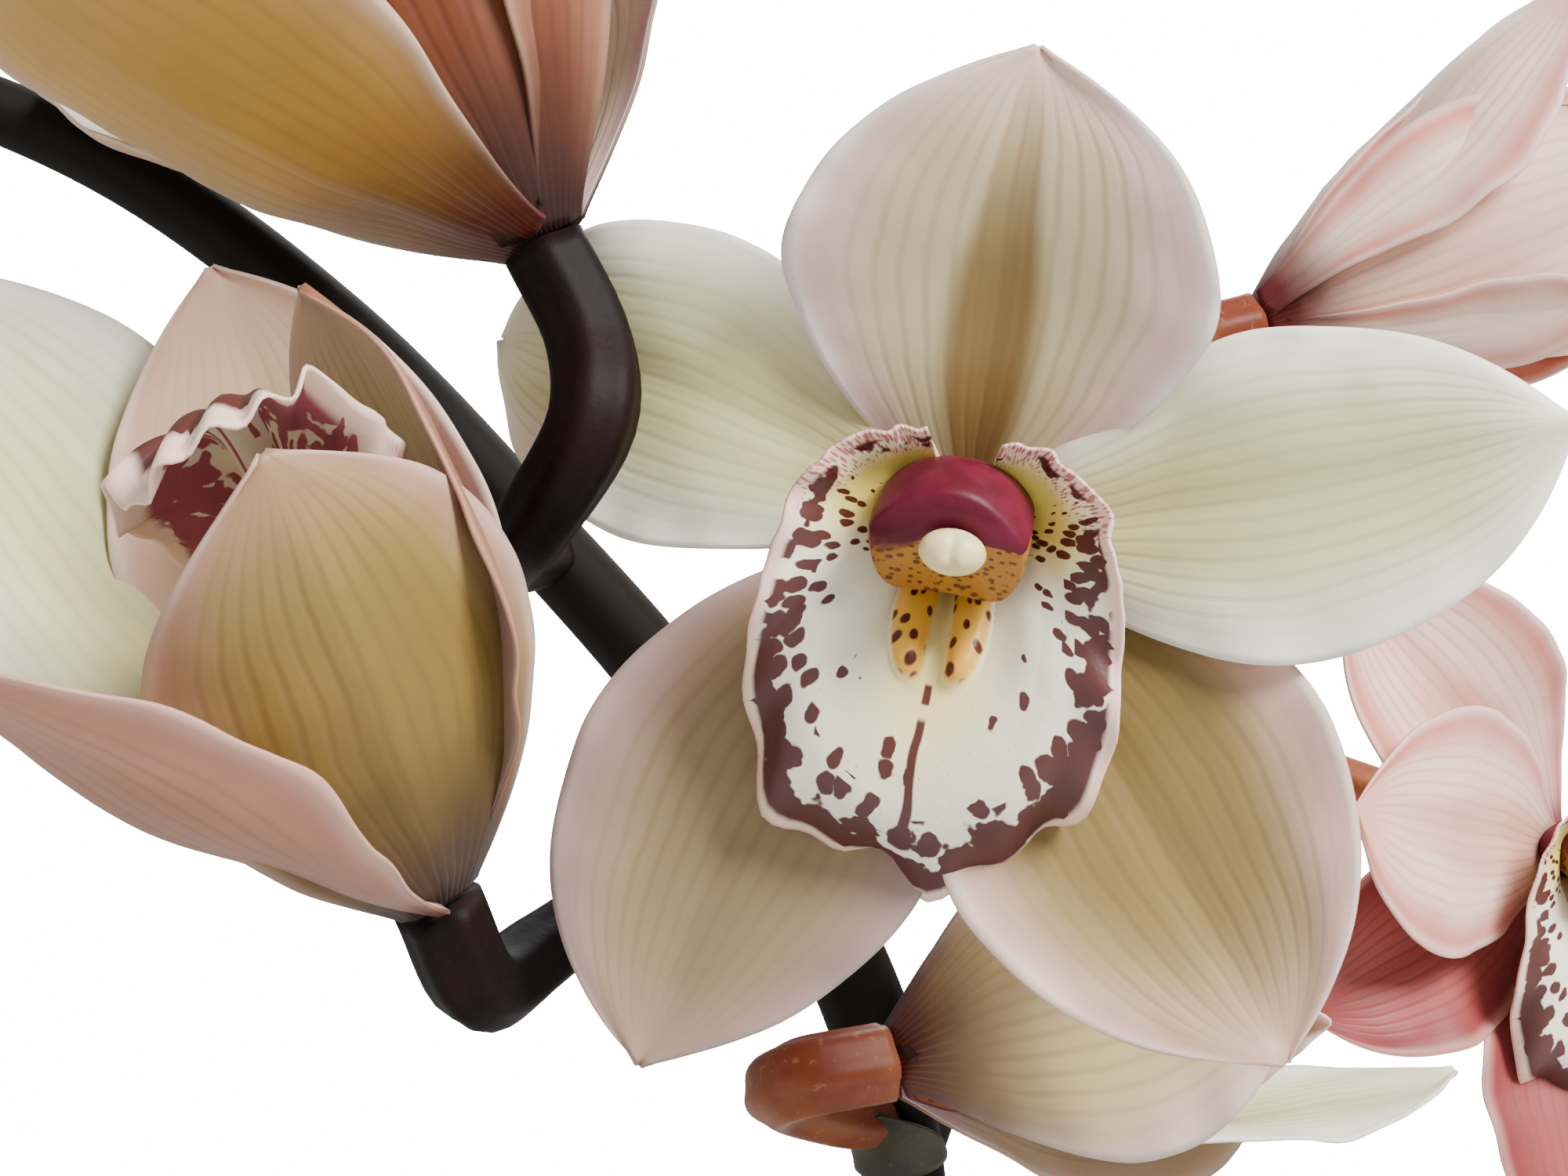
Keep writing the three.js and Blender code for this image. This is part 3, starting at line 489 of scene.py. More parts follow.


# the fronts and backs of the tepals: tints, where the blush begins, the midrib band's width and
# strength, the veins' strength and the reach of the base's stain and painted shade
TEPAL_PAINTS = {name: petal_material(name, *values) for name, values in {
    "open_sepal": ("ccbe94 e6c4bc 80642c 74501e 9a6e48 f6efe8", 0.42, 0.2, 0.92, 0.3, 0.1),
    "open_petal": ("dcd8a4 fdf8e6 c2bb7c 9c7646 a09862 f4efe2", 0.35, 0.3, 0.5, 0.26, 0.3),
    "inner_sepal": ("e2c29e dcae9a c8a870 8a5a30 a87c58 f0dccc", 0.35, 0.4, 0.5, 0.25, 0.2),
    "shaded_sepal": ("a48c68 ac8c82 95805a 745632 7a6044 ae988e", 0.35, 0.6, 0.8, 0.3, 0.2),
    # painted shade: a darker copy of the sepal paint for the main flower's lower right sepal, which faces
    # down
    "cupped_sepal": ("a89060 e2b8a8 846c36 76582a 7e6238 f2d8cc", 0.5, 0.6, 0.8, 0.26, 0.2),
    "olive_back": ("988044 b08672 846824 2c0a00 684422 d4b4a2", 0.45, 0.75, 0.8, 0.3, 0.52),
    "pink_back": ("b27c60 bc8470 985f40 5c260e 84523a d8b09e", 0.35, 0.6, 0.8, 0.35, 0.3),
    "sepal_back": ("c8aa72 c8988a a5863e 3c1206 8a5a38 e2c8b8", 0.35, 0.6, 0.8, 0.35, 0.36),
    "dark_back": ("e4d0a0 ecccbe d6be86 561c16 9a7048 e8d4c8", 0.5, 0.7, 0.8, 0.3, 0.52),
    "petal_back": ("d8cf9e e6d8c0 c2b47c 6e3a1c a08c5c f4efe2", 0.35, 0.4, 0.8, 0.28, 0.2),
    "brown_back": ("8a5432 a06a50 6c3418 260a06 502412 c09078", 0.35, 0.5, 0.8, 0.35, 0.45),
    "gold_back": ("c49c4e c0967a b08430 521002 925f28 e2c8b0", 0.5, 0.8, 0.8, 0.25, 0.46),
    "far_front": ("fcdac4 d67e70 e8b09a 7c2a26 b85c58 f8dcd0", 0.5, 0.3, 0.8, 0.25, 0.2),
    # painted shade: a darker copy of the far flowers' front paint, on the far lower flower's two lower sepals
    "far_dark": ("a8524e 8a3436 98463f 5c1a1e 6e2a2c d89a8c", 0.35, 0.3, 0.8, 0.35, 0.2),
    "far_back": ("ffe4ce d67e6e f4c8b0 641a1a c0625a fadfd2", 0.6, 0.3, 0.8, 0.25, 0.3),
}.items()}
LIP_TINTS = "Ground, Yellow, Frill, Callus, Speck, Maroon"
LIP_FRONT = finish_material(
    "lip_front", LIP, named_tints(LIP_TINTS, "fbf4d8 ecd468 f2c6b2 e8a81c a8283c 48000b"),
    0.42, 0.4, 0.2, clear=0.15, Specular_IOR_Level=0.4)
LIP_BACK = finish_material(
    "lip_back", LIP, named_tints(LIP_TINTS, "eadfc6 e6d9a6 eec6b4 e2d2a0 c9707c a04a5c"),
    0.5, 0.3, 0.2, clear=0.15, Specular_IOR_Level=0.3)


def column_effect(nodes, given):
    """A maroon hood over a tan, dotted underside."""
    ramp, blend = nodes.ramp, nodes.blend
    u, v, _ = nodes.split(nodes.uv())
    where = nodes.place()
    cloud = nodes.noise(where, 260.0, 3.0)
    below = ramp(u + (cloud - 0.5) * 0.1, 0.50, 0.54)
    tone = blend(ramp(cloud, 0.35, 0.65), given["Hood"], given["Hood light"])
    under = blend(ramp(v, 0.75, 0.2), given["Under"], given["Deep"])
    distance, chance = nodes.cells(where, 1050.0, "3D")
    dot = ramp(distance - (chance * 0.2 + 0.26), 0.06, -0.06)
    under = blend(dot * 0.8, under, given["Dot"])
    return {"Colour": blend(below, tone, under), "Height": nodes.noise(where, 1400.0, 2.0)}


COLUMN = effect("column_paint", {"Color": "Hood, Hood light, Under, Deep, Dot"}, column_effect)
COLUMN_SKIN = finish_material(
    "column_skin", COLUMN,
    named_tints("Hood, Hood light, Under, Deep, Dot", "4c0018 5e0424 a06a22 74380a 3c0808"),
    0.5, 0.25, 0.15, Specular_IOR_Level=0.25)
CAP_SKIN = skin_material("anther_cap_skin", "e2d29a d4bc80 b88a60", (0.4, 0.2, 0.1), (300.0, 1500.0),
                         strength=0.3, Subsurface_Weight=0.2, Subsurface_Scale=0.002)
PEDICEL_SKIN = skin_material("pedicel_skin", "0a0201 160603 22100a", (0.6, 0.4, 0.3), (90.0, 900.0),
                             Specular_IOR_Level=0.12)
SHADED_PEDICEL_SKIN = skin_material("shaded_pedicel_skin", "6a2e1a 80482c 9a6a44", (0.5, 0.4, 0.3),
                                    (90.0, 900.0), Specular_IOR_Level=0.2)
STEM_SKIN = skin_material("stem_skin", "0a0501 120b04 1a1408", (0.7, 0.3, 0.25), (60.0, 700.0),
                          stretch=0.2, Specular_IOR_Level=0.15)
BRACT_SKIN = skin_material("bract_skin", "322c12 22160a 4e4624", (0.55, 0.4, 0.2), (110.0, 900.0), clear=0.1)
BUD_SKIN = skin_material("bud_skin", "7c8040 8e5f3c a89a58", (0.42, 0.3, 0.2), (55.0, 700.0), clear=0.08)
LEAF_SKIN = skin_material("leaf_skin", "3e5a1e 557028 6f8a3c", (0.38, 0.25, 0.2), (14.0, 300.0), clear=0.15)
BULB_SKIN = skin_material("bulb_skin", "6d7c34 566628 8f9450", (0.42, 0.4, 0.3), (60.0, 500.0), stretch=0.3)
SHEATH_SKIN = skin_material("sheath_skin", "b09a6c 8c7448 6c5430", (0.7, 0.5, 0.3), (120.0, 900.0),
                            stretch=0.12, clear=0.15)
CANE_SKIN = skin_material("cane_skin", "a08226 8a6c18 c0a248", (0.6, 0.3, 0.15), (200.0, 1200.0), stretch=0.1)
RAFFIA_SKIN = skin_material("raffia_skin", "c9b07a b39860 8f7442", (0.75, 0.6, 0.2), (300.0, 1500.0))
POT_SKIN = skin_material("pot_skin", "b5653f a4573a c98a64", (0.78, 0.35, 0.4), (16.0, 260.0), strength=0.35)
BARK_SKIN = skin_material("bark_skin", "4c2e1c 8a6040 332014", (0.85, 0.9, 0.8), (90.0, 420.0), strength=0.5)


# ------ flowers

def flower_frame(at, facing, top):
    """Right, up and out from a flower's heart, as a matrix."""
    out = Vector(facing).normalized()
    up = Vector(top)
    up = (up - out * up.dot(out)).normalized()
    right = up.cross(out)
    return Matrix.Translation(at) @ Matrix((right, up, out)).transposed().to_4x4()


COLUMN_REACH = 24.0  # how far the column's tip is out from the heart
COLUMN_ARCH = 7.46  # how far the column's back rises over the heart


def heart_of(column, facing, top):
    """A flower's heart, from the box of its CAD column in the flower's own directions."""
    turned = flower_frame(Vector(), facing, top).to_3x3().inverted()
    corners = [turned @ vert.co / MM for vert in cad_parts[column].data.vertices]
    across = [c.x for c in corners]
    heart = Vector(((min(across) + max(across)) / 2, max(c.y for c in corners) - COLUMN_ARCH,
                    max(c.z for c in corners) - COLUMN_REACH))
    return turned.inverted() @ heart


TEPAL_THICKNESS = 1.4
TEPAL_FOOT = 2.0  # how far from the heart a sepal or petal begins
LIP_THICKNESS = 1.1


def rim_and_tip(u, v):
    """1 at the sides and the tip of a sheet, 0 inside them."""
    return smooth(max(abs(u * 2 - 1), v), 0.6, 1.0)


def tepal(name, matrix, level, shape, paints, grain):
    """A sepal or petal; grain picks its own small waves."""
    turn, sweep, length, width, rise, cup, curl = shape
    half = width / 2
    steps = 72
    spine, ways, sides = [], [], []
    place_now = None
    for i in range(steps + 1):
        s = i / steps
        t = radians(turn + sweep * (s - 0.4))
        r = radians(mix(rise[0], rise[1], s) - curl * smooth(s, 0.55, 1.0))
        way = Vector((cos(r) * cos(t), cos(r) * sin(t), sin(r)))
        if place_now is None:
            place_now = Vector((cos(t) * TEPAL_FOOT, sin(t) * TEPAL_FOOT, level))
        else:
            place_now = place_now + (ways[-1] + way) * (length / steps / 2)
        spine.append(place_now)
        ways.append(way)
        sides.append(Vector((-sin(t), cos(t), 0)))

    def place(u, v):
        f = clamp(v) * steps
        i = min(steps - 1, int(f))
        k = f - i
        centre = spine[i].lerp(spine[i + 1], k)
        way = ways[i].lerp(ways[i + 1], k).normalized()
        side = sides[i].lerp(sides[i + 1], k).normalized()
        front_way = way.cross(side)
        rising = min(1, v / 0.58)
        w = half * (0.2 + 0.8 * sin(pi / 2 * rising) ** 1.2) * (1 - v ** 5.5)
        w = max(0.35, w)
        bend = max(0.01, radians(mix(cup[0], cup[1], v)) * w / half)
        a = u * 2 - 1
        x = w / bend * sin(bend * a)
        z = w / bend * (1 - cos(bend * a))
        edge = abs(a) ** 3
        seed = Vector((grain * 7.3 + a * 0.8, v * 3.2, grain * 1.7))
        z += (noise.noise(seed) * 1.6 + noise.noise(seed * 2.7) * 1.1 * edge) * smooth(v, 0.05, 0.35)
        z -= 0.45 * exp(-(a * w / 2.2) ** 2) * smooth(v, 0.02, 0.1) * smooth(v, 1.0, 0.8)
        x *= 1 + 0.025 * waver(a * 0.6, v * 5, grain * 3.1)
        return matrix @ (centre + side * x + front_way * z)

    across, along = ((36, 64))
    piece = paint(sheet(name, across, along, place), *paints)
    return thicken(piece, TEPAL_THICKNESS, 0.3, rim_and_tip)


LIP_RING = 4.2  # radius of the open lip's foot round the heart
OPEN_LIP = {
    "foot": (LIP_RING, 2.4), "open": 157, "angle": [0, 25, 45, 60, 80, 100, 130, 157],
    "radius": [37, 34, 26.5, 21, 17, 15.5, 12.5, 9.5], "height": [6, 9, 15, 17, 19, 19, 19, 18],
    "leave": [58, 60, 66, 70, 74, 78, 82, 86], "arrive": [-74, -62, -25, 10, 35, 45, 55, 65]}
HALF_OPEN_LIP = {
    "foot": (2.9, 3.6), "open": 150, "angle": [0, 25, 45, 60, 80, 100, 130, 150],
    "radius": [23, 20, 17, 15, 13, 12, 10, 9], "height": [46, 47, 45, 42, 40, 38, 34, 30],
    "leave": [80] * 8, "arrive": [-20, -10, 20, 40, 50, 55, 60, 70]}
LEANING_LIP = {**HALF_OPEN_LIP, "height": [60, 61, 58, 53, 48, 44, 38, 32], "lean": 0.12, "tilt": 0.34}


def lip(name, matrix, form, seed):
    """The lip: ribs spread from the heart, the lowest one longest, with two ridges and a frilled edge."""
    opening = radians(form["open"])

    def rib(angle):
        a = abs(degrees(angle))
        return [table(a, form["angle"], form[key]) for key in ("radius", "height", "leave", "arrive")]

    def centre_line(angle, v):
        radius, height, leave, arrive = [sum(c) / 3 for c in zip(rib(angle - 0.07), rib(angle),
                                                                rib(angle + 0.07))]
        start, end = Vector(form["foot"]), Vector((radius, height))
        hold = (end - start).length * 0.45
        first = start + Vector((cos(radians(leave)), sin(radians(leave)))) * hold
        second = end - Vector((cos(radians(arrive)), sin(radians(arrive)))) * hold
        m = 1 - v
        return start * m ** 3 + first * (3 * m * m * v) + second * (3 * m * v * v) + end * v ** 3

    def ridge(angle, v):
        t = clamp(v / 0.38)
        off = (abs(angle) - mix(0.62, 0.15, t)) / mix(0.42, 0.05, t)
        return exp(-off ** 4) * smooth(v, 0.04, 0.12) * smooth(v, 0.39, 0.34)

    def place(u, v):
        angle = mix(-opening, opening, u)
        here = centre_line(angle, v)
        ahead = centre_line(angle, min(1, v + 0.02))
        behind = centre_line(angle, max(0, v - 0.02))
        way = (ahead - behind).normalized()
        lift = Vector((-way.y, way.x))
        front_lobe = smooth(abs(angle), 1.25, 0.7)
        wave = sin(angle * 9.5 + 1.1 * sin(angle * 3.1 + seed))
        wave += 0.55 * sin(angle * 21 + seed + 2.0 * sin(angle * 2.3))
        frill = mix(0.35, 1.5, front_lobe) * wave * smooth(v, 0.68, 1.0) ** 1.5
        bumps = 0.5 * waver(angle * 2, v * 5, seed) * smooth(v, 0.3, 0.6)
        here = here + lift * (frill + bumps + 2.1 * ridge(angle, v))
        here = here + way * (0.5 * waver(angle * 7, seed, 3) * smooth(v, 0.8, 1.0))
        x = here.x * sin(angle)
        z = here.y + form.get("tilt", 0) * x * v
        return matrix @ Vector((x + form.get("lean", 0) * here.y, -here.x * cos(angle), z))

    across, along = ((150, 64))
    piece = sheet(name, across, along, place)
    shape = piece.data.uv_layers["shape"].data
    polar = piece.data.uv_layers.new(name="polar").data
    marks = piece.data.uv_layers.new(name="marks").data
    for i, data in enumerate(shape):
        u, v = data.uv
        angle = mix(-opening, opening, u)
        reach = table(abs(degrees(angle)), form["angle"], form["radius"]) * 1.2
        polar[i].uv = (angle, log(max(1.0, mix(LIP_RING, reach, v)) / 10))
        marks[i].uv = (ridge(angle, v), 0.0)
    paint(piece, LIP_FRONT, LIP_BACK)
    return thicken(piece, LIP_THICKNESS, 0.35, lambda u, v: smooth(v, 0.6, 1.0))


def column(name, matrix):
    """The column: an arched hood, hollow below, with a wing along each side."""
    steps = 26

    def centre(t):
        return Vector((0, 4 * sin(pi * min(1, 0.85 * t)) - 1.5 * t * t - 2.2 * t, 1 + 23 * t))

    def place(u, v):
        ring = clamp((v - 0.5 / steps) / (1 - 1 / steps))
        here = centre(ring)
        way = (centre(min(1, ring + 0.02)) - centre(max(0, ring - 0.02))).normalized()
        lift = Vector((1, 0, 0)).cross(way) * -1
        if lift.y < 0:
            lift = -lift
        wide = table(ring, [0, 0.2, 0.5, 0.8, 0.95, 1], [5, 6.8, 7.6, 7.9, 7.8, 7.2])
        high = table(ring, [0, 0.4, 0.8, 0.95, 1], [2.8, 4.2, 5.6, 5.6, 5.0])
        low = table(ring, [0, 0.25, 0.6, 0.85, 1], [3.2, 5.0, 9.0, 13.0, 14.5])
        angle = u * tau
        x, y = cos(angle), sin(angle)
        x *= 1 - 0.42 * smooth(ring, 0.4, 0.9) * max(0, y) ** 1.2 * (1 - max(0, y)) ** 0.3
        y = -low * (abs(y) ** 0.8 - 0.4 * abs(y) ** 3) if y < 0 else high * y
        back = 0.5 * max(0, -y) * smooth(ring, 0.3, 1.0)
        if v < 0.25 / steps or v > 1 - 0.25 / steps:
            x, y, back = 0.0, 0.0, 1.5
        return matrix @ (here - way * back + Vector((1, 0, 0)) * (x * wide) + lift * y)

    return paint(sheet(name, 56, steps, place, closed=True), COLUMN_SKIN)


def anther_cap(name, matrix):
    """The small cap at the column's tip, with a groove down its middle."""
    tip = Vector((0.8, 4 * sin(pi * 0.85) - 4.2, 25.0))

    def place(u, v):
        polar, angle = pi * v, u * tau
        x = sin(polar) * cos(angle)
        y = sin(polar) * sin(angle)
        z = -cos(polar)
        groove = 0.22 * exp(-(x / 0.16) ** 2) * smooth(z, -0.2, 0.6)
        return matrix @ (tip + Vector((3.3 * x, 2.3 * y, (2.3 - groove * 2.3) * z)))

    return paint(sheet(name, 28, 18, place, closed=True), CAP_SKIN)


PEDICEL_RADIUS, OVARY_RADIUS = 3.5, 4.6


def pedicel(name, points, skin):
    """The flower's own stalk, with shallow ribs, widening into the ovary behind the flower."""
    def radius(t):
        return mix(PEDICEL_RADIUS, OVARY_RADIUS, smooth(t, 0.3, 0.8))

    return paint(tube(name, with_ends(smooth_path(points, 40)), radius, 48, 6, 0.05), skin)


SPIKE = [above(*p) for p in (
    (12, 6, -30), (19, 11, 120), (20, 17, 255), (16, 26, 370), (15, 27, 401), (11, 21, 420), (0, 12, 444),
    (-15, 6, 465), (-28, 3, 480), (-52, 7, 505), (-79, 5, 525), (-107, 1, 536), (-150, -3, 545),
    (-192, -5, 542), (-228, -6, 528))]
FAR_SPIKE = [above(*p) for p in (
    (24, 46, -30), (21, 58, 120), (18, 78, 260), (19, 88, 388), (36, 92, 420), (58, 93, 452), (76, 92, 482))]
SPIKE_LINE = smooth_path(SPIKE, 220)
FAR_LINE = smooth_path(FAR_SPIKE, 120)


def nearest(line, point):
    return min(line, key=lambda p: (p - point).length)


# a tepal is its turn round the flower, sweep, length, width, rise and cup (each at foot and tip),
# the curl of its tip, and its front and back paint
TEPALS = ("left_petal", "right_petal", "dorsal_sepal", "left_sepal", "right_sepal")
FLOWERS = {
    "main_flower": {
        "facing": (-0.12, -1, -0.02), "top": (0.16, 0, 1), "lip": OPEN_LIP,
        "stalk": [(-8, 9, 458), (2, 0, 466)], "skin": PEDICEL_SKIN,
        "tepals": [
            (166, 22, 60, 35, (14, -30), (5, 1), 30, "open_petal", "petal_back"),
            (17, 18, 61, 35, (18, 0), (5, 5), 0, "open_petal", "petal_back"),
            (89, 0, 49, 46, (30, 8), (10, 22), 0, "open_sepal", "sepal_back"),
            (246, 26, 64, 41, (14, 0), (5, 20), 0, "shaded_sepal", "sepal_back"),
            (311, -6, 62, 45, (14, 10), (10, 35), 0, "cupped_sepal", "sepal_back")]},
    "left_flower": {
        "facing": (-0.34, -0.42, 0.84), "top": (0.17, 0.85, 0.5), "lip": LEANING_LIP,
        "stalk": [(-9, 7, 455), (-18, -9, 442), (-27, -23, 435)], "skin": PEDICEL_SKIN,
        "tepals": [
            (160, 0, 84, 50, (52, 80), (25, 25), 0, "open_petal", "brown_back"),
            (48, 0, 66, 44, (44, 112), (30, 40), 0, "shaded_sepal", "brown_back"),
            (104, 0, 68, 44, (60, 74), (30, 40), 0, "inner_sepal", "sepal_back"),
            (236, 0, 68, 54, (44, 72), (30, 50), 0, "open_sepal", "pink_back"),
            (310, 0, 62, 46, (52, 92), (35, 50), 0, "open_sepal", "olive_back")]},
    "upper_flower": {
        "facing": (-0.43, 0.14, 0.89), "top": (0.36, 0.93, 0.03), "lip": HALF_OPEN_LIP,
        "stalk": [(-28, 1, 480), (-30, -16, 478), (-26, -37.5, 481.5), (-19.6, -42, 492)],
        "skin": PEDICEL_SKIN,
        "tepals": [
            (165, 0, 72, 44, (35, 55), (25, 25), 0, "open_petal", "gold_back"),
            (15, 0, 68, 42, (60, 60), (30, 30), 0, "open_petal", "brown_back"),
            (90, 0, 70, 48, (45, 60), (30, 40), 0, "open_sepal", "brown_back"),
            (236, 0, 72, 52, (34, 56), (30, 40), 0, "open_sepal", "gold_back"),
            (304, 0, 68, 46, (56, 80), (35, 50), 0, "open_sepal", "brown_back")]},
    "lower_flower": {
        "facing": (0.94, 0.31, 0.13), "top": (-0.2, 0.82, -0.53), "lip": HALF_OPEN_LIP,
        "stalk": [(14, 24, 408), (8, 16, 410), (0, 7, 414)], "skin": SHADED_PEDICEL_SKIN,
        "tepals": [
            (160, 0, 70, 38, (60, 98), (25, 25), 0, "open_petal", "sepal_back"),
            (34, 0, 74, 38, (60, 100), (12, 12), 0, "open_petal", "petal_back"),
            (90, 0, 60, 42, (58, 84), (30, 40), 0, "open_sepal", "pink_back"),
            (232, 0, 62, 42, (50, 66), (30, 40), 0, "open_sepal", "olive_back"),
            (276, 0, 52, 46, (34, 72), (35, 50), 0, "open_sepal", "dark_back")]},
    "far_upper_flower": {
        "facing": (0.91, 0.17, 0.37), "top": (0.1, 0.85, -0.51), "lip": HALF_OPEN_LIP,
        "stalk": [(76, 92, 482), (66, 90, 494)], "skin": SHADED_PEDICEL_SKIN, "heart": (69.2, 80, 513.6),
        "tepals": [
            (160, 0, 66, 38, (62, 76), (25, 25), 0, "far_front", "far_back"),
            (20, 0, 66, 38, (60, 78), (30, 30), 0, "far_front", "far_back"),
            (90, 0, 66, 42, (60, 76), (30, 40), 0, "far_front", "far_back"),
            (232, 0, 66, 42, (58, 72), (30, 40), 0, "far_front", "far_back"),
            (305, 0, 66, 44, (60, 78), (35, 50), 0, "far_front", "far_back")]},
    "far_lower_flower": {
        "facing": (0.35, -1, 0), "top": (-0.1, 0, 1), "lip": OPEN_LIP,
        "stalk": [(60, 93, 454), (84, 104, 446)], "skin": SHADED_PEDICEL_SKIN, "heart": (111.7, 80, 437),
        "tepals": [
            (164, 0, 54, 36, (35, 20), (15, 5), 0, "far_front", "far_back"),
            (17, 0, 62, 36, (25, 10), (15, 5), 0, "far_front", "far_back"),
            (134, 0, 60, 36, (25, 10), (30, 40), 0, "far_front", "far_back"),
            (196, 0, 52, 34, (20, 10), (30, 40), 0, "far_dark", "far_back"),
            (262, 0, 60, 40, (20, 10), (20, 20), 0, "far_dark", "far_back")]},
}
PETAL_LEVEL = 2.0  # petals begin this far in front of the sepals
OVARY_LENGTH = 12
for order, (flower, form) in enumerate(FLOWERS.items()):
    far = "heart" in form
    line = FAR_LINE if far else SPIKE_LINE
    heart = above(*form["heart"]) if far else heart_of(flower + "_column", form["facing"], form["top"])
    matrix = flower_frame(heart, form["facing"], form["top"])
    out = Vector(form["facing"]).normalized()
    made = {}
    for grain, (part, (*shape, front, back)) in enumerate(zip(TEPALS, form["tepals"])):
        level = PETAL_LEVEL if "petal" in part else 0.0
        paints = TEPAL_PAINTS[front], TEPAL_PAINTS[back]
        made[part] = tepal(f"{flower} {part}", matrix, level, shape, paints, order * len(TEPALS) + grain)
    made["lip"] = lip(f"{flower} lip", matrix, form["lip"], order * 1.7)
    made["column"] = column(f"{flower} column", matrix)
    made["anther_cap"] = anther_cap(f"{flower} anther cap", matrix)
    stalk = [above(*p) for p in form["stalk"]]
    points = [nearest(line, stalk[0]), *stalk[1:], heart - out * OVARY_LENGTH, heart - out * 1.1]
    made["pedicel"] = pedicel(f"{flower} pedicel", points, form["skin"])
    for part, piece in made.items():
        slot = part.split("_")[1] if part in TEPALS else part
        if far:
            settle(piece, "far_flower", flower)
        else:
            settle(piece, slot, f"{flower}_{part}")


# ------ stems, buds, cane and tie

STEM_RADIUS, STEM_TIP_RADIUS, FAR_STEM_RADIUS = 5.3, 2.6, 4.4


def stem_radius(t):
    return mix(STEM_RADIUS, STEM_TIP_RADIUS, clamp((t - 0.6) / 0.4))


def far_stem_radius(t):
    return FAR_STEM_RADIUS * (1 - 0.3 * t)


stem = paint(tube("flower spike", with_ends(SPIKE_LINE), stem_radius, 32, 9, 0.012), STEM_SKIN)
settle(stem, "stem", "spike_stem")
far_stem = tube("far flower spike", with_ends(FAR_LINE), far_stem_radius, 24, 9, 0.012)
settle(paint(far_stem, STEM_SKIN), "stem", "far_spike_stem")

# where on the stem, which way and how long
BUDS = [(0.872, (-0.25, -0.45, 0.85), 44), (0.915, (-0.2, 0.6, 0.75), 40), (0.955, (-0.35, -0.55, 0.7), 34),
        (0.985, (-0.7, 0.25, 0.6), 28), (1.0, (-0.95, -0.1, -0.1), 22)]
BUD_STALK, BUD_STALK_RADIUS = 16, 1.9


def bud(name, at, way, long):
    way = Vector(way).normalized()
    start = SPIKE_LINE[int(at * (len(SPIKE_LINE) - 1))]
    line = with_ends([start + way * ((BUD_STALK + long) * i / 40) for i in range(41)])

    def radius(t):
        along = clamp((t * (BUD_STALK + long) - BUD_STALK) / long)
        swell = long / 4.6 * sin(pi * min(0.96, along ** 0.8)) ** 0.8 if along > 0 else 0
        return max(BUD_STALK_RADIUS * (1 - 0.6 * smooth(along, 0.9, 1)), swell)

    return paint(tube(name, line, radius, 30, 3, 0.06), BUD_SKIN)


for i, (at, way, long) in enumerate(BUDS):
    settle(bud(f"bud {i + 1}", at, way, long), "stem", "spike_stem")


BRACT_THICKNESS = 0.7


def bract(name, at, way, long):
    """A small pointed bract that clasps the stem under a stalk."""
    i = int(at * (len(SPIKE_LINE) - 1))
    here = SPIKE_LINE[i]
    up = (SPIKE_LINE[i + 1] - SPIKE_LINE[i - 1]).normalized()
    out = Vector(way) - up * up.dot(Vector(way))
    out.normalize()
    side = up.cross(out)

    def place(u, v):
        a = (u - 0.5) * 2
        share = (1 - v ** 1.6) * (0.85 + 0.15 * cos(a * 1.5))
        angle = a * 1.9 * (1 - 0.4 * v)
        radius = 5.8 + 4.5 * v * v
        turn = out * cos(angle * share) + side * sin(angle * share)
        return here + up * (v * long - 3) + turn * radius

    piece = paint(sheet(name, 16, 14, place), BRACT_SKIN, BRACT_SKIN)
    return thicken(piece, BRACT_THICKNESS, 0.4, rim_and_tip)


BRACTS = [(0.5, (-0.3, -0.9, 0), 9), (0.545, (0.6, -0.6, 0), 10), (0.585, (-0.2, -1, 0.2), 11),
          (0.635, (0.8, -0.5, 0.4), 12)]
for i, (at, way, long) in enumerate(BRACTS):
    settle(bract(f"bract {i + 1}", at, way, long), "stem", "spike_stem")

CANE_FOOT, CANE_TOP = above(22, 14, -60), above(39.5, 25, 428)
CANE_RADIUS, JOINT_SWELL = 2.35, 0.35
CANE_JOINTS = (0.18, 0.39, 0.61, 0.84)
cane_line = even_steps([CANE_FOOT, CANE_TOP], 160)


def cane_radius(t):
    joint = min(abs(t - n) for n in CANE_JOINTS)
    return CANE_RADIUS + JOINT_SWELL * exp(-(joint / 0.004) ** 2)


cane = paint(tube("support cane", with_ends(cane_line), cane_radius, 20), CANE_SKIN)
settle(cane, "cane", "support_cane")


TIE_HEIGHT = 118
TIE_STEPS, TIE_TURNS, TIE_RISE = 144, 3, 4
ROUND_STEM, ROUND_CANE, RAFFIA_RADIUS = 6.6, 3.6, 0.75


def tie(name, height):
    """Turns of raffia, wide round the stem and tight round the cane."""
    stem_at = min(SPIKE_LINE, key=lambda p: abs(p.z - (BARK_TOP + height)))
    t = (stem_at.z - CANE_FOOT.z) / (CANE_TOP.z - CANE_FOOT.z)
    cane_at = CANE_FOOT.lerp(CANE_TOP, t)
    way = (cane_at - stem_at).normalized()
    cross = UP.cross(way).normalized()
    reach = (cane_at - stem_at).length
    turns = []
    for i in range(TIE_STEPS + 1):
        a = i / TIE_STEPS * tau * TIE_TURNS
        if cos(a) < 0:
            ahead, aside = ROUND_STEM * cos(a), ROUND_STEM * sin(a)
        else:
            ahead = (reach + ROUND_CANE) * cos(a)
            aside = mix(ROUND_STEM, ROUND_CANE + 0.3, cos(a)) * sin(a)
        turns.append(stem_at + way * ahead + cross * aside + UP * ((i / TIE_STEPS - 0.5) * TIE_RISE))
    return paint(tube(name, with_ends(turns), lambda t: RAFFIA_RADIUS, 10), RAFFIA_SKIN)


settle(tie("raffia tie", TIE_HEIGHT), "raffia", "cane_tie")


# ------ pseudobulbs and leaves

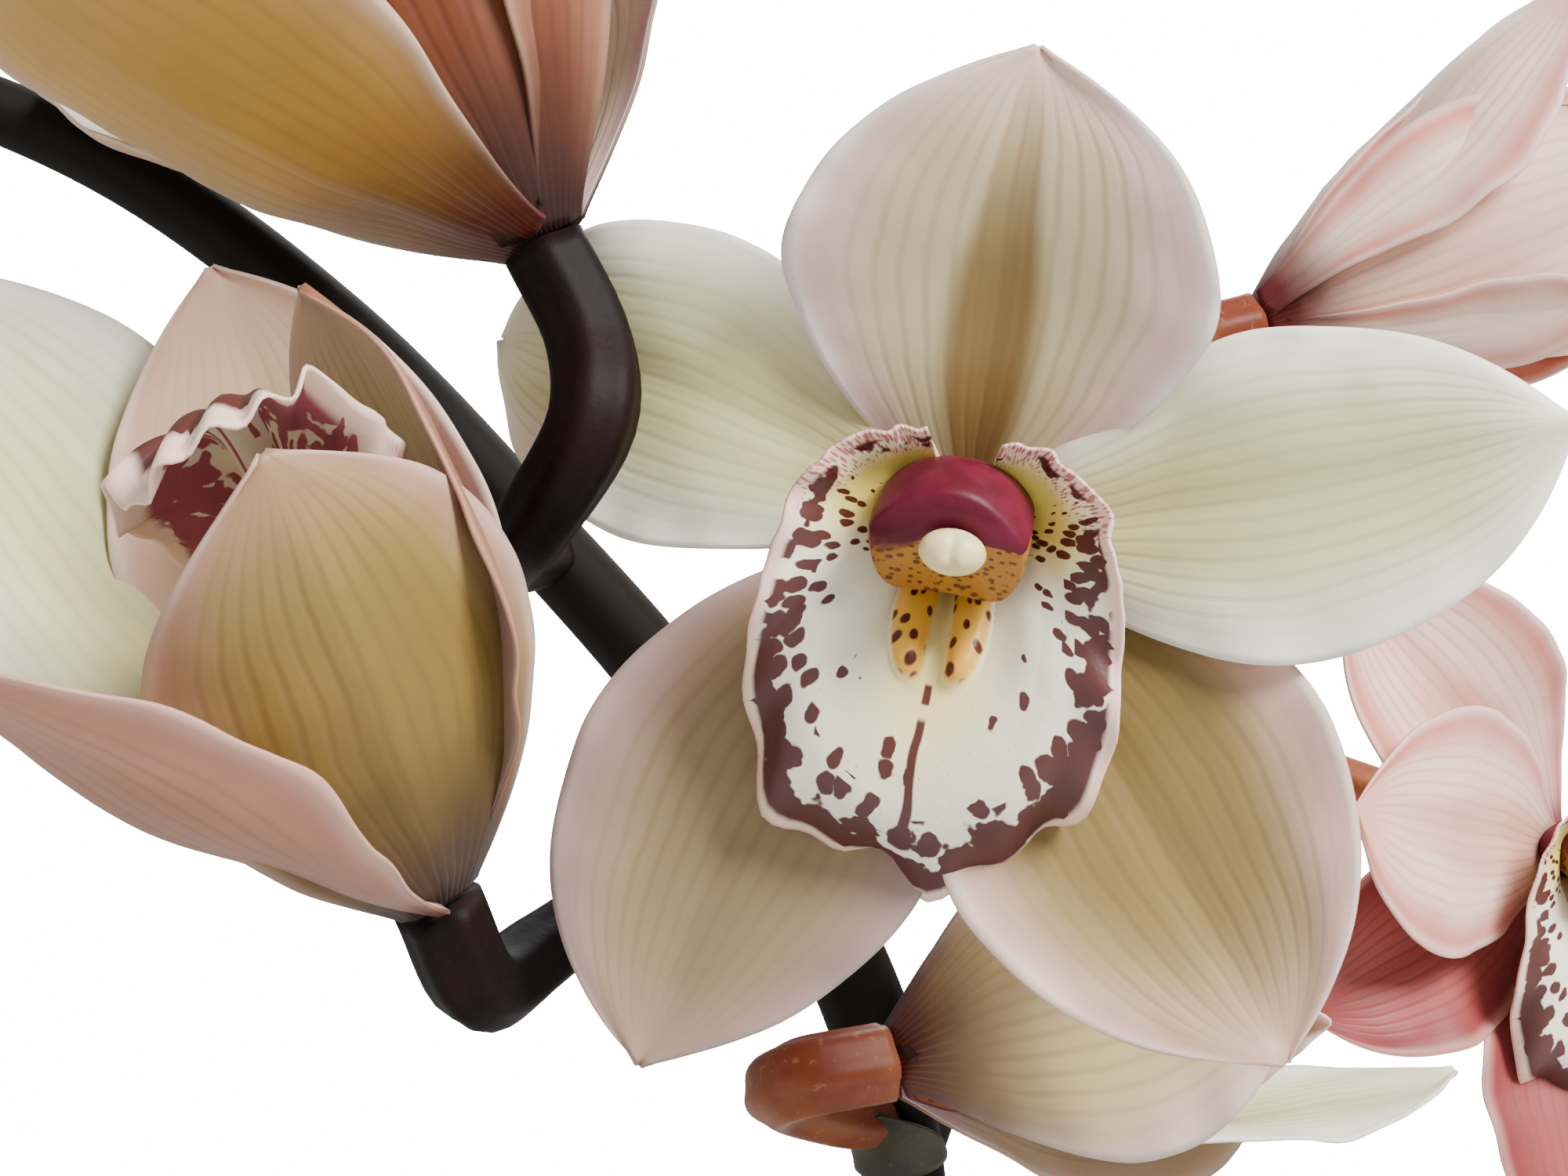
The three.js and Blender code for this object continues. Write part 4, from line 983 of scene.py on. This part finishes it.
BULB_TURNS = (15, -25, -20, 70)
BULB_HALF_LENGTH, BULB_HALF_WIDTH, BULB_HEIGHT = 23, 18, 84
SHEATH_THICKNESS = 0.5
# the bulb it grows from, azimuth, distance out from its middle, slopes at foot and tip, share of LEAF_LENGTH
LEAVES = [(0, 196, 9, 80, -62, 1.0), (0, 238, 10, 74, -74, 0.86), (0, 155, 8, 84, -30, 0.94),
          (1, 278, 9, 78, -66, 0.92), (1, 318, 10, 80, -52, 1.0), (1, 258, 7, 70, -78, 0.74),
          (2, 122, 9, 80, -58, 1.04), (2, 170, 9, 76, -70, 0.9), (2, 88, 8, 82, -40, 1.0),
          (3, 8, 9, 79, -60, 1.02), (3, 46, 9, 81, -48, 1.06), (3, 340, 7, 72, -76, 0.8)]
LEAF_LENGTH, LEAF_HALF_WIDTH, LEAF_THICKNESS = 480, 12.5, 1.0


def level_pair(azimuth):
    """The level direction at an azimuth, and the one a quarter turn further."""
    a = radians(azimuth)
    return Vector((cos(a), sin(a), 0)), Vector((-sin(a), cos(a), 0))


for i, turn in enumerate(BULB_TURNS):
    low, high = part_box(f"pseudobulb_{i + 1}")
    middle = (low + high) / 2 / MM
    tall = (high.z - low.z) / MM
    along, cross = level_pair(turn)

    def bulb_place(u, v, grow=0.0, top=1.0):
        t = mix(-1, top, v)
        angle = u * tau
        waist = 1 - 0.28 * t * t
        body = sqrt(max(0, 1 - t * t)) * waist / 0.93
        ridge = 1 + 0.012 * cos(14 * angle) + 0.01 * waver(angle, t * 3, i)
        reach = body * ridge
        here = middle + along * (BULB_HALF_LENGTH * reach * cos(angle)) + cross * (
            BULB_HALF_WIDTH * reach * sin(angle))
        outward = along * cos(angle) + cross * sin(angle)
        return here + outward * grow + UP * (t * tall / 2)

    piece = paint(sheet(f"pseudobulb {i + 1}", 56, 40, bulb_place, closed=True), BULB_SKIN)
    settle(piece, "pseudobulb", f"pseudobulb_{i + 1}")
    for layer in range(2):
        def sheath_place(u, v):
            ragged = 0.05 * waver(u * 9, layer * 5, i) * smooth(v, 0.5, 1)
            overlap = mix(0.04 + 0.5 * layer, 0.94 + 0.5 * layer, u)
            level = mix(0.16, (0.62, 0.42)[layer] + ragged - 0.2 * abs(u - 0.5) ** 1.5, v)
            return bulb_place(overlap, level, 0.6 + 0.7 * layer + 0.5 * v)

        cover = paint(sheet(f"sheath {i + 1} {layer + 1}", 60, 20, sheath_place), SHEATH_SKIN, SHEATH_SKIN)
        thicken(cover, SHEATH_THICKNESS, 0.4, lambda u, v: smooth(v, 0.6, 1.0))
        settle(cover, "pseudobulb", f"pseudobulb_{i + 1}")


def leaf(name, bulb, azimuth, out, rise, fall, long):
    """A strap that rises from its bulb, arches over and is folded along its middle."""
    outward, side = level_pair(azimuth)
    low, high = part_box(f"pseudobulb_{bulb + 1}")
    centre = (low + high) / 2 / MM
    steps, length = 80, LEAF_LENGTH * long
    spine = [Vector((centre.x, centre.y, BARK_TOP + 0.62 * BULB_HEIGHT)) + outward * out]
    tops = []
    for i in range(steps + 1):
        slope = radians(mix(rise, fall, (i / steps) ** 2))
        tops.append(UP * cos(slope) - outward * sin(slope))
        if i:
            spine.append(spine[-1] + (outward * cos(slope) + UP * sin(slope)) * (length / steps))

    def place(u, v):
        f = v * steps
        i = min(steps - 1, int(f))
        k = f - i
        widening = 0.45 + 0.55 * sin(min(1, v / 0.35) * pi / 2)
        half = max(0.5, LEAF_HALF_WIDTH * widening * (1 - v ** 5) ** 0.8)
        a = u * 2 - 1
        fold = radians(mix(34, 16, v))
        up = tops[i].lerp(tops[i + 1], k)
        wave = 0.8 * waver(a * 0.5, v * 6, bulb * 3 + azimuth) * smooth(v, 0.1, 0.4)
        lift = abs(a) * half * sin(fold) + wave - 0.35 * exp(-(a * half / 1.2) ** 2)
        return spine[i].lerp(spine[i + 1], k) + side * (a * half * cos(fold)) + up * lift

    piece = paint(sheet(name, 18, 90, place), LEAF_SKIN, LEAF_SKIN)
    return thicken(piece, LEAF_THICKNESS, 0.5, lambda u, v: smooth(abs(u * 2 - 1), 0.5, 1.0))


for i, data in enumerate(LEAVES):
    settle(leaf(f"leaf {i + 1:02}", *data), "leaf", f"leaf_{i + 1:02}")


# ------ bark and pot

pot_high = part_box("pot")[1]
POT_HEIGHT = pot_high.z / MM
RIM_OUTER = pot_high.x / MM
RIM, FOOT, WALL, FLOOR = RIM_OUTER - 3, 66, 4.5, 6
DRAINS, DRAIN_RADIUS, DRAIN_CIRCLE = 5, 6, 40
MOUND_RADIUS, MOUND_FALL, CHIPS = 84, 4.0, 620


def spun(name, profile, around=96):
    """A profile of (radius, height) points spun round the pot's axis."""
    bm = bmesh.new()
    verts = [bm.verts.new((r * MM, 0, z * MM)) for r, z in profile]
    edges = [bm.edges.new((a, b)) for a, b in zip(verts, verts[1:])]
    bmesh.ops.spin(bm, geom=verts + edges, cent=(0, 0, 0), axis=(0, 0, 1), angle=tau, steps=around,
                   use_merge=True)
    bmesh.ops.remove_doubles(bm, verts=bm.verts, dist=1e-6)
    bmesh.ops.recalc_face_normals(bm, faces=bm.faces)
    return finish_mesh(name, bm)


def wall_at(z):
    return mix(FOOT, RIM, z / POT_HEIGHT)


profile = [(0, 2.5), (50, 2.5), (52, 0.6), (54, 0), (FOOT - 2, 0), (FOOT - 0.5, 0.6), (FOOT, 2)]
profile += [(wall_at(z), z) for z in range(12, int(POT_HEIGHT) - 19, 12)]
band = POT_HEIGHT - 18
profile += [(wall_at(band) - 0.1, band - 1.4), (wall_at(band) + 1, band - 0.4), (RIM_OUTER - 1.6, band + 0.2),
            (RIM_OUTER - 0.4, band + 1.6), (RIM_OUTER - 0.1, band + 9), (RIM_OUTER, POT_HEIGHT - 2.4),
            (RIM_OUTER - 1, POT_HEIGHT - 0.5), (RIM_OUTER - 2.6, POT_HEIGHT),
            (RIM - WALL + 1.4, POT_HEIGHT), (RIM - WALL + 0.3, POT_HEIGHT - 0.8)]
profile += [(wall_at(z) - WALL, z) for z in range(int(POT_HEIGHT) - 4, 12, -14)]
profile += [(wall_at(8) - WALL - 1.5, FLOOR + 1), (wall_at(8) - WALL - 4, FLOOR), (0, FLOOR)]
pot = paint(spun("pot", profile), POT_SKIN)
cutters = []
for i in range(DRAINS):
    a = tau * i / DRAINS
    middle = Vector((DRAIN_CIRCLE * cos(a), DRAIN_CIRCLE * sin(a), 4)) * MM
    bm = bmesh.new()
    bmesh.ops.create_cone(bm, cap_ends=True, segments=32, radius1=DRAIN_RADIUS * MM,
                          radius2=DRAIN_RADIUS * MM, depth=30 * MM, matrix=Matrix.Translation(middle))
    cutters.append(finish_mesh(f"drain {i + 1}", bm))
for cutter in cutters:
    hole = pot.modifiers.new("drain", "BOOLEAN")
    hole.operation = "DIFFERENCE"
    hole.object = cutter
done = bpy.data.meshes.new_from_object(pot.evaluated_get(bpy.context.evaluated_depsgraph_get()))
pot.modifiers.clear()
pot.data = done
for cutter in cutters:
    bpy.data.objects.remove(cutter)
settle(pot, "terracotta", "pot")


def mound_at(r):
    """How much lower the bark's surface is at radius r than in its middle."""
    return MOUND_FALL * (r / MOUND_RADIUS) ** 2


mound_profile = [(0, BARK_TOP + 1.5)]
mound_profile += [(r, BARK_TOP + 1.5 - mound_at(r)) for r in range(12, MOUND_RADIUS + 1, 12)]
mound_profile += [(wall_at(BARK_TOP - 8) - WALL - 0.4, BARK_TOP - 8), (wall_at(20) - WALL - 0.5, 20),
                  (0, 20)]
mound = paint(spun("bark filling", mound_profile, 64), BARK_SKIN)
settle(mound, "bark", "potting_bark")
chance = random.Random(11)
bm = bmesh.new()
tone = bm.verts.layers.float.new("tone")
count = 0
while count < CHIPS:
    r, a = (MOUND_RADIUS - 1) * sqrt(chance.random()), chance.uniform(0, tau)
    where = Vector((r * cos(a), r * sin(a), BARK_TOP + 1.2 - mound_at(r)))
    size = Vector((chance.uniform(4, 10), chance.uniform(3, 6.5), chance.uniform(1.6, 3.4)))
    if r + size.x > MOUND_RADIUS:
        continue
    made = bmesh.ops.create_cube(bm, size=1.0)["verts"]
    turn = Matrix.Rotation(chance.uniform(0, tau), 4, "Z") @ Matrix.Rotation(
        chance.gauss(0, 0.35), 4, "X") @ Matrix.Rotation(chance.gauss(0, 0.3), 4, "Y")
    bevelled = bmesh.ops.bevel(bm, geom=list({e for v in made for e in v.link_edges}), offset=0.14,
                               segments=1, affect="EDGES", profile=0.5, material=-1)
    shade = chance.random()
    for vert in bevelled["verts"]:
        uneven = 1 + noise.noise(vert.co * 2.3 + Vector((count, count * 0.7, 0))) * 0.16
        vert.co = (where + turn @ (vert.co * uneven * size) + UP * 0.8) * MM
        vert[tone] = shade
    count += 1
chips = finish_mesh("bark chips", bm)
chips.data.polygons.foreach_set("use_smooth", [False] * len(chips.data.polygons))
paint(chips, BARK_SKIN)
settle(chips, "bark", "potting_bark")


# ------ floor, light and camera

def plain(name, colour, roughness):
    material = bpy.data.materials.new(name)
    material.use_nodes = True
    shader = material.node_tree.nodes["Principled BSDF"]
    shader.inputs["Base Color"].default_value = colour
    shader.inputs["Roughness"].default_value = roughness
    return material


bm = bmesh.new()
bmesh.ops.create_circle(bm, cap_ends=True, segments=128, radius=2.6)
floor = finish_mesh("floor", bm)
paint(floor, plain("floor_white", (0.9, 0.9, 0.9, 1), 0.9))

# a soft studio: pale grey light from all round, and a white backdrop
world = bpy.data.worlds.new("studio")
bpy.context.scene.world = world
world.use_nodes = True
air = Nodes(world.node_tree)
sky = world.node_tree.nodes["Background"]
sky.inputs["Color"].default_value = (0.93, 0.96, 1, 1)
sky.inputs["Strength"].default_value = 0.6
backdrop = air.add("ShaderNodeBackground", {"Color": (1, 1, 1, 1), "Strength": 18.0}).outputs[0]
seen = air.add("ShaderNodeLightPath").outputs["Is Camera Ray"]
both = air.add("ShaderNodeMixShader", {0: seen, 1: sky.outputs[0], 2: backdrop})
world.node_tree.links.new(both.outputs[0], world.node_tree.nodes["World Output"].inputs["Surface"])


def lamp(name, at, aim, size, power):
    light = bpy.data.lights.new(name, "AREA")
    light.shape = "DISK"
    light.size = size
    light.energy = power
    holder = bpy.data.objects.new(name, light)
    holder.location = at
    holder.rotation_euler = (Vector(aim) - Vector(at)).to_track_quat("-Z", "Y").to_euler()
    bpy.context.scene.collection.objects.link(holder)


lamp("key light", (0.85, -0.75, 1.55), (0, 0, 0.6), 0.7, 64)
lamp("fill light", (-1.1, -0.9, 0.9), (0, 0, 0.55), 1.0, 5)
lamp("back light", (0.3, 1.2, 1.5), (0, 0, 0.6), 0.8, 14)

camera = bpy.data.objects.new("camera", bpy.data.cameras.new("camera"))
camera.data.sensor_width = 36
camera.data.lens = 65.85
camera.data.clip_start = 0.01
camera.location = (0, -0.335, 0.620)
camera.rotation_euler = (pi / 2, 0, 0)
bpy.context.scene.collection.objects.link(camera)
bpy.context.scene.camera = camera
